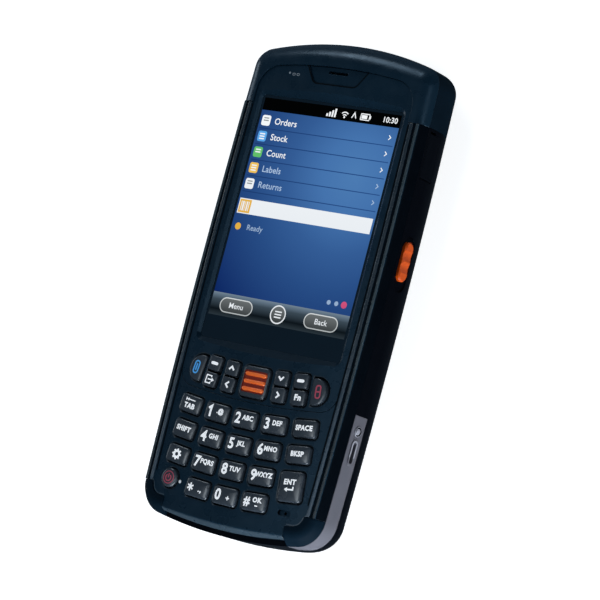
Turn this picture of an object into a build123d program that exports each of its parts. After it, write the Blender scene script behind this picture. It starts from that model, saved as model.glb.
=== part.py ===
from build123d import *
import os
from collections import namedtuple
from math import cos, degrees, radians, sin, sqrt, tan

# Handheld barcode data terminal with a touch display above an arched keypad.
# Millimetres. It lies on its flat back: +Z out of the display, +Y towards the scanning end, and the
# origin is on the resting plane under the centre of the body. Places along the body are given from
# the end that carries the feature; a longer body gets a longer display and battery.

# ---- body ---------------------------------------------------------------------------------------
length = 158.2
width = 73.0
scan_end_y = length / 2
dock_end_y = -length / 2
belly_y = 5.0                 # where the flanks are furthest apart
flank_radius = 2450.0
top_arch_radius = 121.0
bottom_arch_radius = 160.0
top_corner_radius = 6.5
bottom_corner_radius = 9.5
seam_z = 21.6                 # parting plane between the front and the rear half
crown_z = 26.2                # highest line of the crowned front face
crown_radius = 320.0
shoulder_rise = 5.6           # bevel from the parting plane up to the front face
shoulder_run = 3.9
shoulder_softness = 0.8
back_round_radius = 16.5      # rounding from the flanks down to the flat back
rear_wall = 1.8
seam_gap = 0.15               # visible joint line between two mouldings
seat_gap = 0.1                # between a piece and the seat that carries it

# ---- display ------------------------------------------------------------------------------------
display_width = width - 19.7
display_top_y = scan_end_y - 20.4
display_height = display_top_y - dock_end_y - 66.7
display_y = display_top_y - display_height / 2
display_z = 24.0              # front of the lens
lens_thickness = 0.9
lens_overlap = 1.2            # lens margin hidden under the bezel
window_side_margin = 0.75
window_top_margin = 0.9
window_bottom_margin = 7.5
window_corner_radius = 1.2
window_flare_angle = 50.0     # slope of the bezel around the window, from upright
lens_gap = 0.15
module_margin = 1.2
module_thickness = 3.2
bracket_thickness = 0.8
bracket_rim = 0.6
flex_width = 18.0

# ---- bezel --------------------------------------------------------------------------------------
bezel_half_width = width / 2 - 5.8
bezel_top_y = scan_end_y - 8.55
bezel_top_radius = 190.0
bezel_bottom_y = dock_end_y + 41.85
bezel_top_corner = 8.0
bezel_bottom_corner = 6.0
bezel_seat_z = 23.3           # seat of the bezel, and underside of the wall over the keypad
bezel_ledge = 1.2
receiver_top_width = 24.0
receiver_bottom_width = 16.4
receiver_low_y = scan_end_y - 14.25
receiver_depth = 0.8
receiver_corner = 1.4
ear_slot_length = 7.5
ear_slot_height = 0.9
ear_slot_y = scan_end_y - 10.2
earpiece_height = 2.4
earpiece_length = 12.0
earpiece_width = 5.0

# ---- keys ---------------------------------------------------------------------------------------
row_radius = 210.0            # the rows are arcs, lowest on the centre line
row_pitch = 8.1
first_row_y = dock_end_y + 36.3
column_pitch = (width - 28.2) / 4
key_width = column_pitch - 2.0
outer_key_width = column_pitch - 2.6
key_height = 5.8
tall_key_height = 9.6
key_corner_radius = 1.1
key_rise = 1.25               # above the crowned face
key_bevel = 0.45
key_gap = 0.3                 # all round in the socket
socket_chamfer = 0.3          # broken edge of every socket in the front face
key_travel = 0.6
flange_lip = 0.3              # flange beyond the socket
flange_thickness = 0.7
power_key_radius = 3.1
power_key_x = -2 * column_pitch - 0.8
power_key_y = dock_end_y + 13.7
dome_radius = 2.0
dome_gap = key_travel + 0.05   # free stroke above the membrane's domes

nav_row_y = dock_end_y + 48.15
small_key_width = (2 * column_pitch - 6.8) / 3
small_key_height = 4.85
small_key_split = 0.4
small_key_corner = 0.9
end_key_width = 5.5
end_key_height = 8.6
end_key_outer_radius = 4.0
end_key_inner_radius = 0.8
nav_inner_x = column_pitch - 1.4
nav_outer_x = nav_inner_x + small_key_width + 2.1
nav_end_x = nav_outer_x + (small_key_width + end_key_width) / 2 + 1.7
nav_rise = 1.0
scan_key_width = column_pitch - 0.8
scan_key_height = 10.0
scan_key_corner = 1.7
scan_pad_width = scan_key_width - 1.5
scan_pad_height = 6.9
scan_pad_depth = 0.6
scan_bar_height = 1.25
scan_bar_pitch = 2.5
scan_bar_rise = 0.5

# ---- ribs, bumpers and small openings of the front ---------------------------------------------
rib_insets = (4.55, 2.5)
rib_widths = (1.2, 1.0)
rib_rise = 0.45
rib_softness = 0.35           # rounding of the ribs
cap_y = scan_end_y - 22.45     # lower edge of the top bumper, end of the rear housing
bumper_y = dock_end_y + 11.65
bumper_x = width / 2 - 12.6
bumper_band = 5.6
bumper_softness = 3.5
cap_softness = 6.5            # the top bumper rolls over to the scanning end
lip_width = 1.7               # rear lip left bare between the bottom bumpers
keypad_bottom_y = dock_end_y + 5.3
keypad_bottom_corner = 5.0
mic_slot_length = 4.6
mic_slot_height = 1.8
mic_slot_depth = 0.8
mic_x = 2 * column_pitch
mic_y = dock_end_y + 11.2
mic_hole_radius = 0.5
lamp_hole_radius = 0.55
lamp_x = power_key_x + 4.1
lamp_y = power_key_y - 0.5

# ---- boards -------------------------------------------------------------------------------------
board_thickness = 1.0
membrane_thickness = 0.7
membrane_overlap = 1.0
keypad_board_top_z = 20.8
keypad_board_top_y = dock_end_y + 56.5
main_board_width = width - 19.0
main_board_top_y = scan_end_y - 27.1
main_board_bottom_y = dock_end_y + 17.1
standoff_height = 1.3
standoff_radius = 2.0
can_width = 22.0               # shielding cans of the main board
can_length = 26.0
can_rise = 2.4

# ---- battery ------------------------------------------------------------------------------------
battery_width = width - 25.0
battery_length = length - 88.2
battery_thickness = 8.0
battery_gap = 0.4
battery_corner = 2.0
cover_width = battery_width + 4.0
cover_length = battery_length + 8.0
cover_y = dock_end_y + 15.1 + cover_length / 2
battery_y = cover_y - 1.0
cover_corner = 4.0
cover_thickness = 1.6
frame_margin = 2.0            # moulded frame round the battery bay
bay_roof = 1.2

# ---- battery latch ------------------------------------------------------------------------------
latch_width = 14.0
latch_length = 7.8
latch_flange = 1.2
latch_face_z = 0.3
latch_step_z = 1.4
latch_top_z = 2.3
latch_travel = 3.0
latch_gap = 0.2
latch_y = cover_y + cover_length / 2 + 7.6
latch_tongue_width = 6.0
latch_tongue_gap = 0.3
latch_block_margin = 2.4
latch_block_z = 4.4
latch_rib_pitch = 1.6

# ---- side band ----------------------------------------------------------------------------------
band_low_z = 14.9
band_high_z = 21.4
band_thickness = 1.0
band_end_y = dock_end_y + 45.2
band_gap = 0.06
strap_slot_y = dock_end_y + 33.9
strap_slot_length = 6.7
strap_slot_height = 1.6
strap_slot_depth = 1.6
strap_rail_width = 0.6
strap_rail_rise = 0.3
plug_y = dock_end_y + 40.5
plug_radius = 1.6
plug_rise = 0.2

# ---- scan buttons -------------------------------------------------------------------------------
button_y = scan_end_y - 63.95
button_z = 17.05
button_length = 12.4
button_height = 4.4
button_gap = 0.15
button_rise = 0.7
button_travel = 0.6
button_flange_lip = 0.6
button_flange_thickness = 0.8
button_scallop_radius = 2.6
button_scallop_pitch = 3.6
button_scallop_depth = 0.55
scoop_length = 17.5
scoop_height = 6.8
scoop_y = button_y - 0.75
scoop_depth = 0.5
switch_thickness = 2.0
switch_length = 6.0
switch_height = 3.6
post_thickness = 1.4
post_length = 8.0

# ---- port in the right flank --------------------------------------------------------------------
flap_low_y = scan_end_y - 37.45  # hinge axis
flap_high_y = scan_end_y - 24.0
flap_low_z = 13.9
flap_high_z = 20.3
flap_thickness = 1.3
flap_gap = 0.1
flap_pin_radius = 0.45
flap_pin_length = 0.7
flap_pin_clearance = 0.05
slit_length = 0.8
slit_low_z = 17.4
port_width = 9.0
port_height = 3.2
port_wall = 0.6
port_depth = 4.8
port_frame_depth = 2.4
port_frame_margin = 1.6

# ---- scanning end -------------------------------------------------------------------------------
scan_window_width = 29.0
scan_window_height = 11.6
scan_window_thickness = 1.2
scan_window_z = 12.8
scan_window_sink = 1.2
scan_window_lip = 1.4
scan_frame_margin = 1.8
scan_frame_depth = 3.4
engine_width = 21.0
engine_height = 12.0
engine_length = 15.0
engine_gap = 1.4

# ---- back of the body ---------------------------------------------------------------------------
camera_x = -13.0
back_device_y = scan_end_y - 35.1
camera_window_radius = 4.0
camera_window_thickness = 0.8
camera_window_sink = 0.3
camera_bore_radius = 3.0
camera_size = 8.5
camera_height = 5.2
speaker_x = 13.0
speaker_width = 14.0
speaker_length = 14.0
speaker_height = 4.0
grille_slot_length = 11.0
grille_slot_width = 1.2
grille_pitch = 2.4
grille_count = 5

# ---- dock connector and screws ------------------------------------------------------------------
dock_width = 22.6
dock_height = 3.6
dock_z = 12.0
dock_wall = 1.0
dock_depth = 7.0
dock_contact_count = 12
dock_contact_pitch = 1.6
screw_x = width / 2 - 5.3
screw_rows = (dock_end_y + 19.1, -18.0, scan_end_y - 45.1)
screw_shank_radius = 1.0
screw_head_radius = 1.9
screw_head_height = 1.4
screw_seat_z = 9.5
screw_tip_z = 23.0
screw_clearance = 0.1
boss_radius = 2.4

Arched = namedtuple(
    "Arched", "half_width top_y top_radius bottom_y bottom_radius top_corner bottom_corner"
)
body_shape = Arched(
    width / 2, scan_end_y, top_arch_radius, dock_end_y, bottom_arch_radius,
    top_corner_radius, bottom_corner_radius,
)
bezel_shape = Arched(
    bezel_half_width, bezel_top_y, bezel_top_radius, bezel_bottom_y, row_radius,
    bezel_top_corner, bezel_bottom_corner,
)
cavity_shape = Arched(
    bezel_half_width - bezel_ledge, bezel_top_y - bezel_ledge, bezel_top_radius - bezel_ledge,
    keypad_bottom_y, bottom_arch_radius, bezel_top_corner - bezel_ledge, keypad_bottom_corner,
)
above_front = crown_z + 2.0   # safely over everything on the front face
screw_places = [(side * screw_x, y) for side in (-1, 1) for y in screw_rows]


# ---- shared forms -------------------------------------------------------------------------------
def sharp_face(shape, inset, z):
    """Profile between four arcs with sharp corners, shrunk by inset, at height z."""
    flank_x = width / 2 - flank_radius
    with BuildSketch(Plane.XY.offset(z)) as profile:
        with Locations((flank_x, belly_y)):
            Circle(shape.half_width - flank_x - inset)
        with Locations((-flank_x, belly_y)):
            Circle(shape.half_width - flank_x - inset, mode=Mode.INTERSECT)
        with Locations((0, shape.top_y - shape.top_radius)):
            Circle(shape.top_radius - inset, mode=Mode.INTERSECT)
        with Locations((0, shape.bottom_y + shape.bottom_radius)):
            Circle(shape.bottom_radius - inset, mode=Mode.INTERSECT)
    return profile.sketch


def arched_face(shape, inset=0.0, z=0.0):
    """The four-arc profile with its corners rounded, concentric for every inset."""
    with BuildSketch(Plane.XY.offset(z)) as profile:
        add(sharp_face(shape, inset, 0))
        fillet(profile.vertices().group_by(Axis.Y)[-1], shape.top_corner - inset)
        fillet(profile.vertices().group_by(Axis.Y)[0], shape.bottom_corner - inset)
    return profile.sketch


def crown_disc(raised=0.0):
    """Disc in the XZ plane whose upper edge is the crown line of the front face."""
    with BuildSketch(Plane.XZ) as disc:
        with Locations((0, crown_z + raised - crown_radius)):
            Circle(crown_radius)
    return disc.sketch


def crown_height(x):
    """Height of the front face at x."""
    return crown_z - crown_radius + sqrt(crown_radius**2 - x**2)


def flank_x_at(y):
    """Half width of the body at y."""
    return width / 2 - flank_radius + sqrt(flank_radius**2 - (y - belly_y) ** 2)


def front_form(raised, softness):
    """Outer form of the front half: bevelled shoulder, crowned face, soft edge between them."""
    with BuildPart() as form:
        with BuildSketch(Plane.XY.offset(seam_z)):
            add(arched_face(body_shape))
        with BuildSketch(Plane.XY.offset(seam_z + shoulder_rise)):
            add(arched_face(body_shape, shoulder_run))
        loft(ruled=True)
        extrude(crown_disc(raised), amount=length, both=True, mode=Mode.INTERSECT)
        fillet(form.faces().sort_by(Axis.Z)[-1].edges(), softness)
    return form.part


def rear_form(inset=0.0):
    """Outer form of the rear half, or the same form drawn in by a wall."""
    with BuildPart() as form:
        extrude(sharp_face(body_shape, inset, inset), amount=seam_z - inset)
        back_edges = form.faces().sort_by(Axis.Z)[0].edges().sort_by(Axis.X)
        fillet([back_edges[0], back_edges[-1]], back_round_radius - inset)
        top_end = form.faces().sort_by(Axis.Y)[-1]
        fillet(top_end.edges().filter_by(below_seam), top_corner_radius - inset)
        bottom_end = form.faces().sort_by(Axis.Y)[0]
        fillet(bottom_end.edges().filter_by(below_seam), bottom_corner_radius - inset)
    return form.part


def below_seam(edge):
    """True for an edge that doesn't lie in the parting plane."""
    return (edge @ 0.5).Z < seam_z - seat_gap


def back_height(x, inset):
    """Height of the rounded back at x, for the outer form drawn in by inset."""
    beyond = max(0.0, x - width / 2 + back_round_radius)
    return back_round_radius - sqrt((back_round_radius - inset) ** 2 - beyond**2)


def block(x_size, y_size, x, y, low_z, high_z):
    """Upright block between two heights."""
    with BuildPart() as solid:
        with BuildSketch(Plane.XY.offset(low_z)):
            with Locations((x, y)):
                Rectangle(x_size, y_size)
        extrude(amount=high_z - low_z)
    return solid.part


def finish(builder, name):
    """Name a finished piece and write it out."""
    builder.part.label = name
    export_step(builder.part, f"parts/{name}.step")


os.makedirs("parts", exist_ok=True)
front_outer = front_form(0.0, shoulder_softness)
bumper_outer = front_form(rib_rise, bumper_softness)
cap_outer = front_form(rib_rise, cap_softness)
rear_outer = rear_form()
rear_inner = rear_form(rear_wall)

# ---- keys: layout -------------------------------------------------------------------------------
Key = namedtuple("Key", "name kind x y angle rise")


def on_row(name, kind, along, row_y, rise=key_rise, shift=0.0):
    """Key at an arc length along a row, shifted towards the display."""
    angle = along / row_radius
    reach = row_radius - shift
    return Key(name, kind, reach * sin(angle), row_y + row_radius - reach * cos(angle),
               degrees(angle), rise)


rows = (
    (("tab", "outer"), ("1", "inner"), ("2", "inner"), ("3", "inner"), ("space", "outer")),
    (("shift", "outer"), ("4", "inner"), ("5", "inner"), ("6", "inner"), ("backspace", "outer")),
    (("settings", "outer"), ("7", "inner"), ("8", "inner"), ("9", "inner"), ("enter", "tall")),
    (None, ("star", "inner"), ("0", "inner"), ("hash", "inner"), None),
)
keypad_keys = [Key("key_power", "round", power_key_x, power_key_y, 0.0, key_rise)]
for row, entries in enumerate(rows):
    for column, entry in enumerate(entries):
        if entry:
            drop = (tall_key_height - key_height) / 2 if entry[1] == "tall" else 0.0
            keypad_keys.append(on_row(
                "key_" + entry[0], entry[1], (column - 2) * column_pitch,
                first_row_y - row * row_pitch, shift=-drop,
            ))

half_pitch = (small_key_height + small_key_split) / 2
nav_columns = (
    (-nav_outer_x, "soft_left", "exit"),
    (-nav_inner_x, "up", "left"),
    (nav_inner_x, "down", "right"),
    (nav_outer_x, "soft_right", "fn"),
)
nav_keys = [
    on_row("key_call", "end_left", -nav_end_x, nav_row_y, nav_rise),
    on_row("key_scan", "scan", 0.0, nav_row_y, nav_rise),
    on_row("key_end", "end_right", nav_end_x, nav_row_y, nav_rise),
]
# the two keys of a navigation column share one socket
nav_sockets = list(nav_keys)
for along, upper, lower in nav_columns:
    nav_sockets.append(on_row(upper, "pair", along, nav_row_y))
    nav_keys.append(on_row("key_" + upper, "small", along, nav_row_y, nav_rise, half_pitch))
    nav_keys.append(on_row("key_" + lower, "small", along, nav_row_y, nav_rise, -half_pitch))


# ---- keys: shapes -------------------------------------------------------------------------------
def key_profile(kind, grow=0.0):
    """Plan outline of a key about its own centre, grown all round."""
    pads = {
        "inner": (key_width, key_height, key_corner_radius),
        "outer": (outer_key_width, key_height, key_corner_radius),
        "tall": (outer_key_width, tall_key_height, key_corner_radius),
        "small": (small_key_width, small_key_height, small_key_corner),
        "pair": (small_key_width, 2 * small_key_height + small_key_split, small_key_corner),
        "scan": (scan_key_width, scan_key_height, scan_key_corner),
    }
    with BuildSketch() as outline:
        if kind in pads:
            wide, high, corner = pads[kind]
            RectangleRounded(wide + 2 * grow, high + 2 * grow, corner + grow)
        elif kind == "round":
            Circle(power_key_radius + grow)
        else:
            Rectangle(end_key_width + 2 * grow, end_key_height + 2 * grow)
            sides = outline.vertices().group_by(Axis.X)
            outer, inner = (sides[0], sides[-1]) if kind == "end_left" else (sides[-1], sides[0])
            fillet(outer, end_key_outer_radius + grow)
            fillet(inner, end_key_inner_radius + grow)
    return outline.sketch


def flange_profile(kind):
    """Outline of the flange that keeps a key behind its socket."""
    lip = key_gap + flange_lip
    if kind != "small":
        return key_profile(kind, lip)
    with BuildSketch() as outline:
        Rectangle(small_key_width + 2 * lip, small_key_height)
    return outline.sketch


def at_key(key, face, z):
    """A profile set down at a key's place and height z."""
    return Location((key.x, key.y, z), (0, 0, key.angle)) * face


def cut_sockets(sockets, low_z):
    """Shafts of the sockets, from a height up through the front face."""
    with BuildPart() as shafts:
        for socket in sockets:
            opening = key_profile(socket.kind, key_gap)
            extrude(at_key(socket, opening, low_z), amount=above_front - low_z)
    return shafts.part


def socket_rims(edges, sockets):
    """Edges in which the sockets meet the crowned front face."""
    rims = []
    for socket in sockets:
        reach = key_profile(socket.kind, key_gap + seat_gap).bounding_box().max
        for edge in edges:
            middle = edge @ 0.5
            across = Vector(middle.X - socket.x, middle.Y - socket.y).rotate(Axis.Z, -socket.angle)
            on_front = abs(middle.Z - crown_height(middle.X)) < seat_gap / 10
            if on_front and abs(across.X) < reach.X and abs(across.Y) < reach.Y:
                rims.append(edge)
    return rims


flange_top_z = bezel_seat_z - seat_gap
flange_low_z = flange_top_z - flange_thickness

for key in keypad_keys + nav_keys:
    top_z = crown_height(key.x) + key.rise
    with BuildPart() as cap:
        extrude(at_key(key, key_profile(key.kind), flange_low_z), amount=top_z - flange_low_z)
        chamfer(cap.faces().sort_by(Axis.Z)[-1].edges(), key_bevel)
        extrude(at_key(key, flange_profile(key.kind), flange_low_z), amount=flange_thickness)
        if key.kind == "scan":
            with BuildSketch(Plane.XY.offset(top_z - scan_pad_depth)):
                with Locations((key.x, key.y)):
                    RectangleRounded(scan_pad_width, scan_pad_height, key_bevel)
            extrude(amount=scan_pad_depth, mode=Mode.SUBTRACT)
            with BuildSketch(Plane.XY.offset(top_z - scan_pad_depth)):
                with Locations((key.x, key.y)):
                    with GridLocations(0, scan_bar_pitch, 1, 3):
                        Rectangle(scan_pad_width - key_bevel, scan_bar_height)
            extrude(amount=scan_bar_rise)
    finish(cap, key.name)

# ---- front housing ------------------------------------------------------------------------------
def rib_tops(edges):
    """Long upper edges of the ribs."""
    tops = []
    for edge in edges:
        middle = edge @ 0.5
        on_top = abs(middle.Z - crown_height(middle.X) - rib_rise) < seat_gap / 2
        if on_top and edge.length > max(rib_widths):
            tops.append(edge)
    return tops


with BuildPart() as ribs:
    for inset, rib_width in zip(rib_insets, rib_widths):
        with BuildSketch(Plane.XY.offset(seam_z)):
            add(arched_face(body_shape, inset - rib_width / 2))
            add(arched_face(body_shape, inset + rib_width / 2), mode=Mode.SUBTRACT)
            with Locations((0, (cap_y + bumper_y) / 2)):
                Rectangle(width, cap_y - bumper_y, mode=Mode.INTERSECT)
        extrude(amount=above_front - seam_z)
    extrude(crown_disc(rib_rise), amount=length, both=True, mode=Mode.INTERSECT)
    fillet(rib_tops(ribs.edges()), rib_softness)


def bumper_zone(side, grow):
    """Plan of a bottom corner bumper: a band along the outline, round the corner."""
    with BuildSketch(Plane.XY.offset(seam_z)) as zone:
        with Locations((side * (bumper_x - grow + width / 2), bumper_y + grow - length / 2)):
            Rectangle(width, length)
        add(arched_face(body_shape, bumper_band + grow), mode=Mode.SUBTRACT)
    return zone.sketch


with BuildPart() as front_housing:
    add(front_outer)
    add(ribs.part)
    # everything outside the bezel above the bumper's edge belongs to the top bumper
    with BuildSketch(Plane.XY.offset(seam_z)):
        with Locations((0, cap_y + length / 2)):
            Rectangle(2 * width, length)
        add(arched_face(bezel_shape, seam_gap), mode=Mode.SUBTRACT)
    extrude(amount=above_front - seam_z, mode=Mode.SUBTRACT)
    for side in (-1, 1):
        extrude(bumper_zone(side, seam_gap), amount=above_front - seam_z, mode=Mode.SUBTRACT)
    with BuildSketch(Plane.XY.offset(seam_z)):
        with Locations((0, -length / 2)):
            Rectangle(2 * bumper_x + width / 4, 4 * lip_width)
        add(arched_face(body_shape, lip_width), mode=Mode.SUBTRACT)
    extrude(amount=above_front - seam_z, mode=Mode.SUBTRACT)
    extrude(arched_face(cavity_shape, 0, seam_z), amount=bezel_seat_z - seam_z, mode=Mode.SUBTRACT)
    extrude(
        arched_face(bezel_shape, -seam_gap, bezel_seat_z),
        amount=above_front - bezel_seat_z, mode=Mode.SUBTRACT,
    )
    add(cut_sockets(keypad_keys, seam_z), mode=Mode.SUBTRACT)
    chamfer(socket_rims(front_housing.edges(), keypad_keys), socket_chamfer)
    with BuildSketch(Plane.XY.offset(crown_height(mic_x) - mic_slot_depth)):
        with Locations((mic_x, mic_y)):
            SlotOverall(mic_slot_length, mic_slot_height)
    extrude(amount=above_front - crown_z, mode=Mode.SUBTRACT)
    with BuildSketch(Plane.XY.offset(seam_z)):
        with Locations((mic_x, mic_y)):
            Circle(mic_hole_radius)
        with Locations((lamp_x, lamp_y)):
            Circle(lamp_hole_radius)
    extrude(amount=above_front - seam_z, mode=Mode.SUBTRACT)
    with BuildSketch(Plane.XY.offset(seam_z)):
        with Locations(screw_places):
            Circle(screw_shank_radius + screw_clearance)
    extrude(amount=screw_tip_z + seat_gap - seam_z, mode=Mode.SUBTRACT)
finish(front_housing, "front_housing")

# ---- bumpers ------------------------------------------------------------------------------------
with BuildPart() as top_bumper:
    add(cap_outer)
    split(bisect_by=Plane((0, cap_y + seam_gap, 0), z_dir=(0, 1, 0)), keep=Keep.TOP)
    extrude(
        arched_face(bezel_shape, -seam_gap, seam_z),
        amount=above_front - seam_z, mode=Mode.SUBTRACT,
    )
finish(top_bumper, "top_bumper")

for side, name in ((-1, "bottom_left_bumper"), (1, "bottom_right_bumper")):
    with BuildPart() as bumper:
        add(bumper_outer)
        extrude(bumper_zone(side, 0.0), amount=above_front - seam_z, mode=Mode.INTERSECT)
    finish(bumper, name)

# ---- bezel and display --------------------------------------------------------------------------
window_width = display_width + 2 * window_side_margin
window_top_y = display_y + display_height / 2 + window_top_margin
window_low_y = display_y - display_height / 2 - window_bottom_margin
window_y = (window_top_y + window_low_y) / 2
window_height = window_top_y - window_low_y
lens_low_z = display_z - lens_thickness
lip_z = display_z + seat_gap / 2


def window_face(grow, z, corner=window_corner_radius):
    """Outline of the display window, grown all round, at height z."""
    with BuildSketch(Plane.XY.offset(z)) as face:
        with Locations((0, window_y)):
            RectangleRounded(window_width + 2 * grow, window_height + 2 * grow, corner)
    return face.sketch


flare_rise = above_front - lip_z
with BuildPart() as window_flare:
    with BuildSketch(Plane.XY.offset(lip_z)):
        add(window_face(0.0, 0.0))
    with BuildSketch(Plane.XY.offset(above_front)):
        flare_run = flare_rise * tan(radians(window_flare_angle))
        add(window_face(flare_run, 0.0, window_corner_radius + flare_run))
    loft(ruled=True)

with BuildPart() as screen_bezel:
    extrude(arched_face(bezel_shape, 0, bezel_seat_z), amount=above_front - bezel_seat_z)
    extrude(crown_disc(), amount=length, both=True, mode=Mode.INTERSECT)
    extrude(
        window_face(lens_overlap + lens_gap, bezel_seat_z),
        amount=lip_z - bezel_seat_z, mode=Mode.SUBTRACT,
    )
    add(window_flare.part, mode=Mode.SUBTRACT)
    with BuildSketch(Plane.XY.offset(crown_z - receiver_depth)) as recess:
        with BuildLine():
            Polyline(
                (-receiver_bottom_width / 2, receiver_low_y),
                (receiver_bottom_width / 2, receiver_low_y),
                (receiver_top_width / 2, bezel_top_y + receiver_depth),
                (-receiver_top_width / 2, bezel_top_y + receiver_depth),
                close=True,
            )
        make_face()
        fillet(recess.vertices().group_by(Axis.Y)[0], receiver_corner)
    extrude(amount=above_front - crown_z, mode=Mode.SUBTRACT)
    with BuildSketch(Plane.XY.offset(bezel_seat_z)):
        with Locations((0, ear_slot_y)):
            SlotOverall(ear_slot_length, ear_slot_height)
    extrude(amount=above_front - bezel_seat_z, mode=Mode.SUBTRACT)
    add(cut_sockets(nav_sockets, bezel_seat_z), mode=Mode.SUBTRACT)
    chamfer(socket_rims(screen_bezel.edges(), nav_sockets), socket_chamfer)
finish(screen_bezel, "screen_bezel")

with BuildPart() as touch_panel:
    extrude(window_face(lens_overlap, lens_low_z), amount=lens_thickness)
finish(touch_panel, "touch_panel")

module_low_z = lens_low_z - module_thickness
with BuildPart() as lcd_module:
    with BuildSketch(Plane.XY.offset(module_low_z)):
        with Locations((0, display_y)):
            RectangleRounded(
                display_width + 2 * module_margin, display_height + 2 * module_margin,
                window_corner_radius,
            )
    extrude(amount=module_thickness - seat_gap)
    with BuildSketch(Plane.XY.offset(module_low_z)):
        with Locations((0, display_y - display_height / 2 - 2 * module_margin)):
            Rectangle(flex_width, 2 * module_margin)
    extrude(amount=bracket_thickness)
finish(lcd_module, "lcd_module")

bracket_low_z = module_low_z - bracket_thickness
with BuildPart() as lcd_bracket:
    extrude(window_face(lens_overlap, bracket_low_z), amount=lens_low_z - seat_gap - bracket_low_z)
    extrude(
        window_face(lens_overlap - bracket_rim, module_low_z),
        amount=module_thickness, mode=Mode.SUBTRACT,
    )
    with BuildSketch(Plane.XY.offset(bracket_low_z)):
        with Locations((0, window_y)):
            with GridLocations(display_width / 3, display_height / 4, 3, 4):
                RectangleRounded(display_width / 5, display_height / 6, window_corner_radius)
    extrude(amount=bracket_thickness, mode=Mode.SUBTRACT)
finish(lcd_bracket, "lcd_bracket")

# ---- earpiece -----------------------------------------------------------------------------------
with BuildPart() as earpiece:
    with BuildSketch(Plane.XY.offset(bezel_seat_z - seat_gap - earpiece_height)):
        with Locations((0, ear_slot_y - earpiece_width / 2)):
            RectangleRounded(earpiece_length, earpiece_width, key_corner_radius)
    extrude(amount=earpiece_height)
finish(earpiece, "earpiece")

# ---- keypad membrane and board ------------------------------------------------------------------
membrane_top_z = keypad_board_top_z + membrane_thickness


def keypad_plate(grow, low_z, thickness):
    """Plate under all the keys, as wide as the cavity of the front housing."""
    with BuildPart() as plate:
        extrude(arched_face(cavity_shape, -grow, low_z), amount=thickness)
        with BuildSketch(Plane.XY.offset(low_z)):
            with Locations(screw_places):
                Circle(boss_radius + 2 * seam_gap)
        extrude(amount=thickness, mode=Mode.SUBTRACT)
        split(bisect_by=Plane((0, keypad_board_top_y, 0), z_dir=(0, 1, 0)), keep=Keep.BOTTOM)
    return plate.part


with BuildPart() as keypad_membrane:
    add(keypad_plate(membrane_overlap, keypad_board_top_z, membrane_thickness))
    with BuildSketch(Plane.XY.offset(membrane_top_z)):
        for key in keypad_keys + nav_keys:
            with Locations((key.x, key.y)):
                Circle(dome_radius)
    extrude(amount=flange_low_z - dome_gap - membrane_top_z)
finish(keypad_membrane, "keypad_membrane")

with BuildPart() as keypad_board:
    add(keypad_plate(membrane_overlap, keypad_board_top_z - board_thickness, board_thickness))
    with BuildSketch(Plane.XY.offset(keypad_board_top_z - board_thickness)):
        with Locations((0, (first_row_y + keypad_bottom_y) / 2)):
            Rectangle(key_width * 2, key_height)
    extrude(amount=-board_thickness)
finish(keypad_board, "keypad_board")

# ---- side band ----------------------------------------------------------------------------------
flank_wall_x = flank_x_at(strap_slot_y)
band_mid_z = (band_low_z + band_high_z) / 2


def band_zone(grow, high_z):
    """Space outside the band's inner face, in the flanks and round both bottom corners."""
    low_z = band_low_z - grow
    with BuildPart() as zone:
        add(block(2 * width, length, 0, band_end_y + grow - length / 2, low_z, high_z))
        extrude(
            arched_face(body_shape, band_thickness + grow, low_z), amount=high_z - low_z,
            mode=Mode.SUBTRACT,
        )
        # between the bottom bumpers the housing itself comes to the surface
        add(
            block(2 * (bumper_x - grow), length, 0, -length / 2, low_z, high_z),
            mode=Mode.SUBTRACT,
        )
    return zone.part


with BuildPart() as side_band:
    add(band_zone(0.0, band_high_z))
    add(rear_outer, mode=Mode.INTERSECT)
    with BuildSketch(Plane.YZ.offset(flank_wall_x - band_thickness / 2)):
        with Locations((strap_slot_y, band_mid_z)):
            SlotOverall(
                strap_slot_length + 2 * strap_rail_width, strap_slot_height + 2 * strap_rail_width
            )
    extrude(amount=band_thickness / 2 + strap_rail_rise)
    with BuildSketch(Plane.YZ.offset(flank_wall_x - band_thickness / 2)):
        with Locations((plug_y, band_mid_z)):
            Circle(plug_radius)
    extrude(amount=band_thickness / 2 + plug_rise)
    with BuildSketch(Plane.YZ.offset(flank_wall_x - 2 * band_thickness)):
        with Locations((strap_slot_y, band_mid_z)):
            SlotOverall(strap_slot_length, strap_slot_height)
    extrude(amount=4 * band_thickness, mode=Mode.SUBTRACT)
finish(side_band, "side_band")

# ---- scan buttons and their recesses ------------------------------------------------------------
button_wall_x = flank_x_at(button_y)
inner_wall_x = button_wall_x - rear_wall
button_flange_x = inner_wall_x - seat_gap - button_flange_thickness
scoop_floor_x = button_wall_x - scoop_depth


def right_button():
    """Scan button of the right flank, flanged inside the wall and scalloped for the thumb."""
    with BuildPart() as button:
        with BuildSketch(Plane.YZ.offset(button_flange_x)):
            with Locations((button_y, button_z)):
                SlotOverall(
                    button_length + 2 * button_flange_lip, button_height + 2 * button_flange_lip
                )
        extrude(amount=button_flange_thickness)
        with BuildSketch(Plane.YZ.offset(button_flange_x)):
            with Locations((button_y, button_z)):
                SlotOverall(button_length, button_height)
        extrude(amount=scoop_floor_x + scoop_depth + button_rise - button_flange_x)
        chamfer(button.faces().sort_by(Axis.X)[-1].edges(), key_bevel)
        with BuildSketch(Plane.XY.offset(button_z - button_height)):
            for side in (-1, 1):
                with Locations((
                    button_wall_x + button_rise + button_scallop_radius - button_scallop_depth,
                    button_y + side * button_scallop_pitch / 2,
                )):
                    Circle(button_scallop_radius)
        extrude(amount=2 * button_height, mode=Mode.SUBTRACT)
    return button.part


with BuildPart() as right_scan_button:
    add(right_button())
finish(right_scan_button, "right_scan_button")

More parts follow.
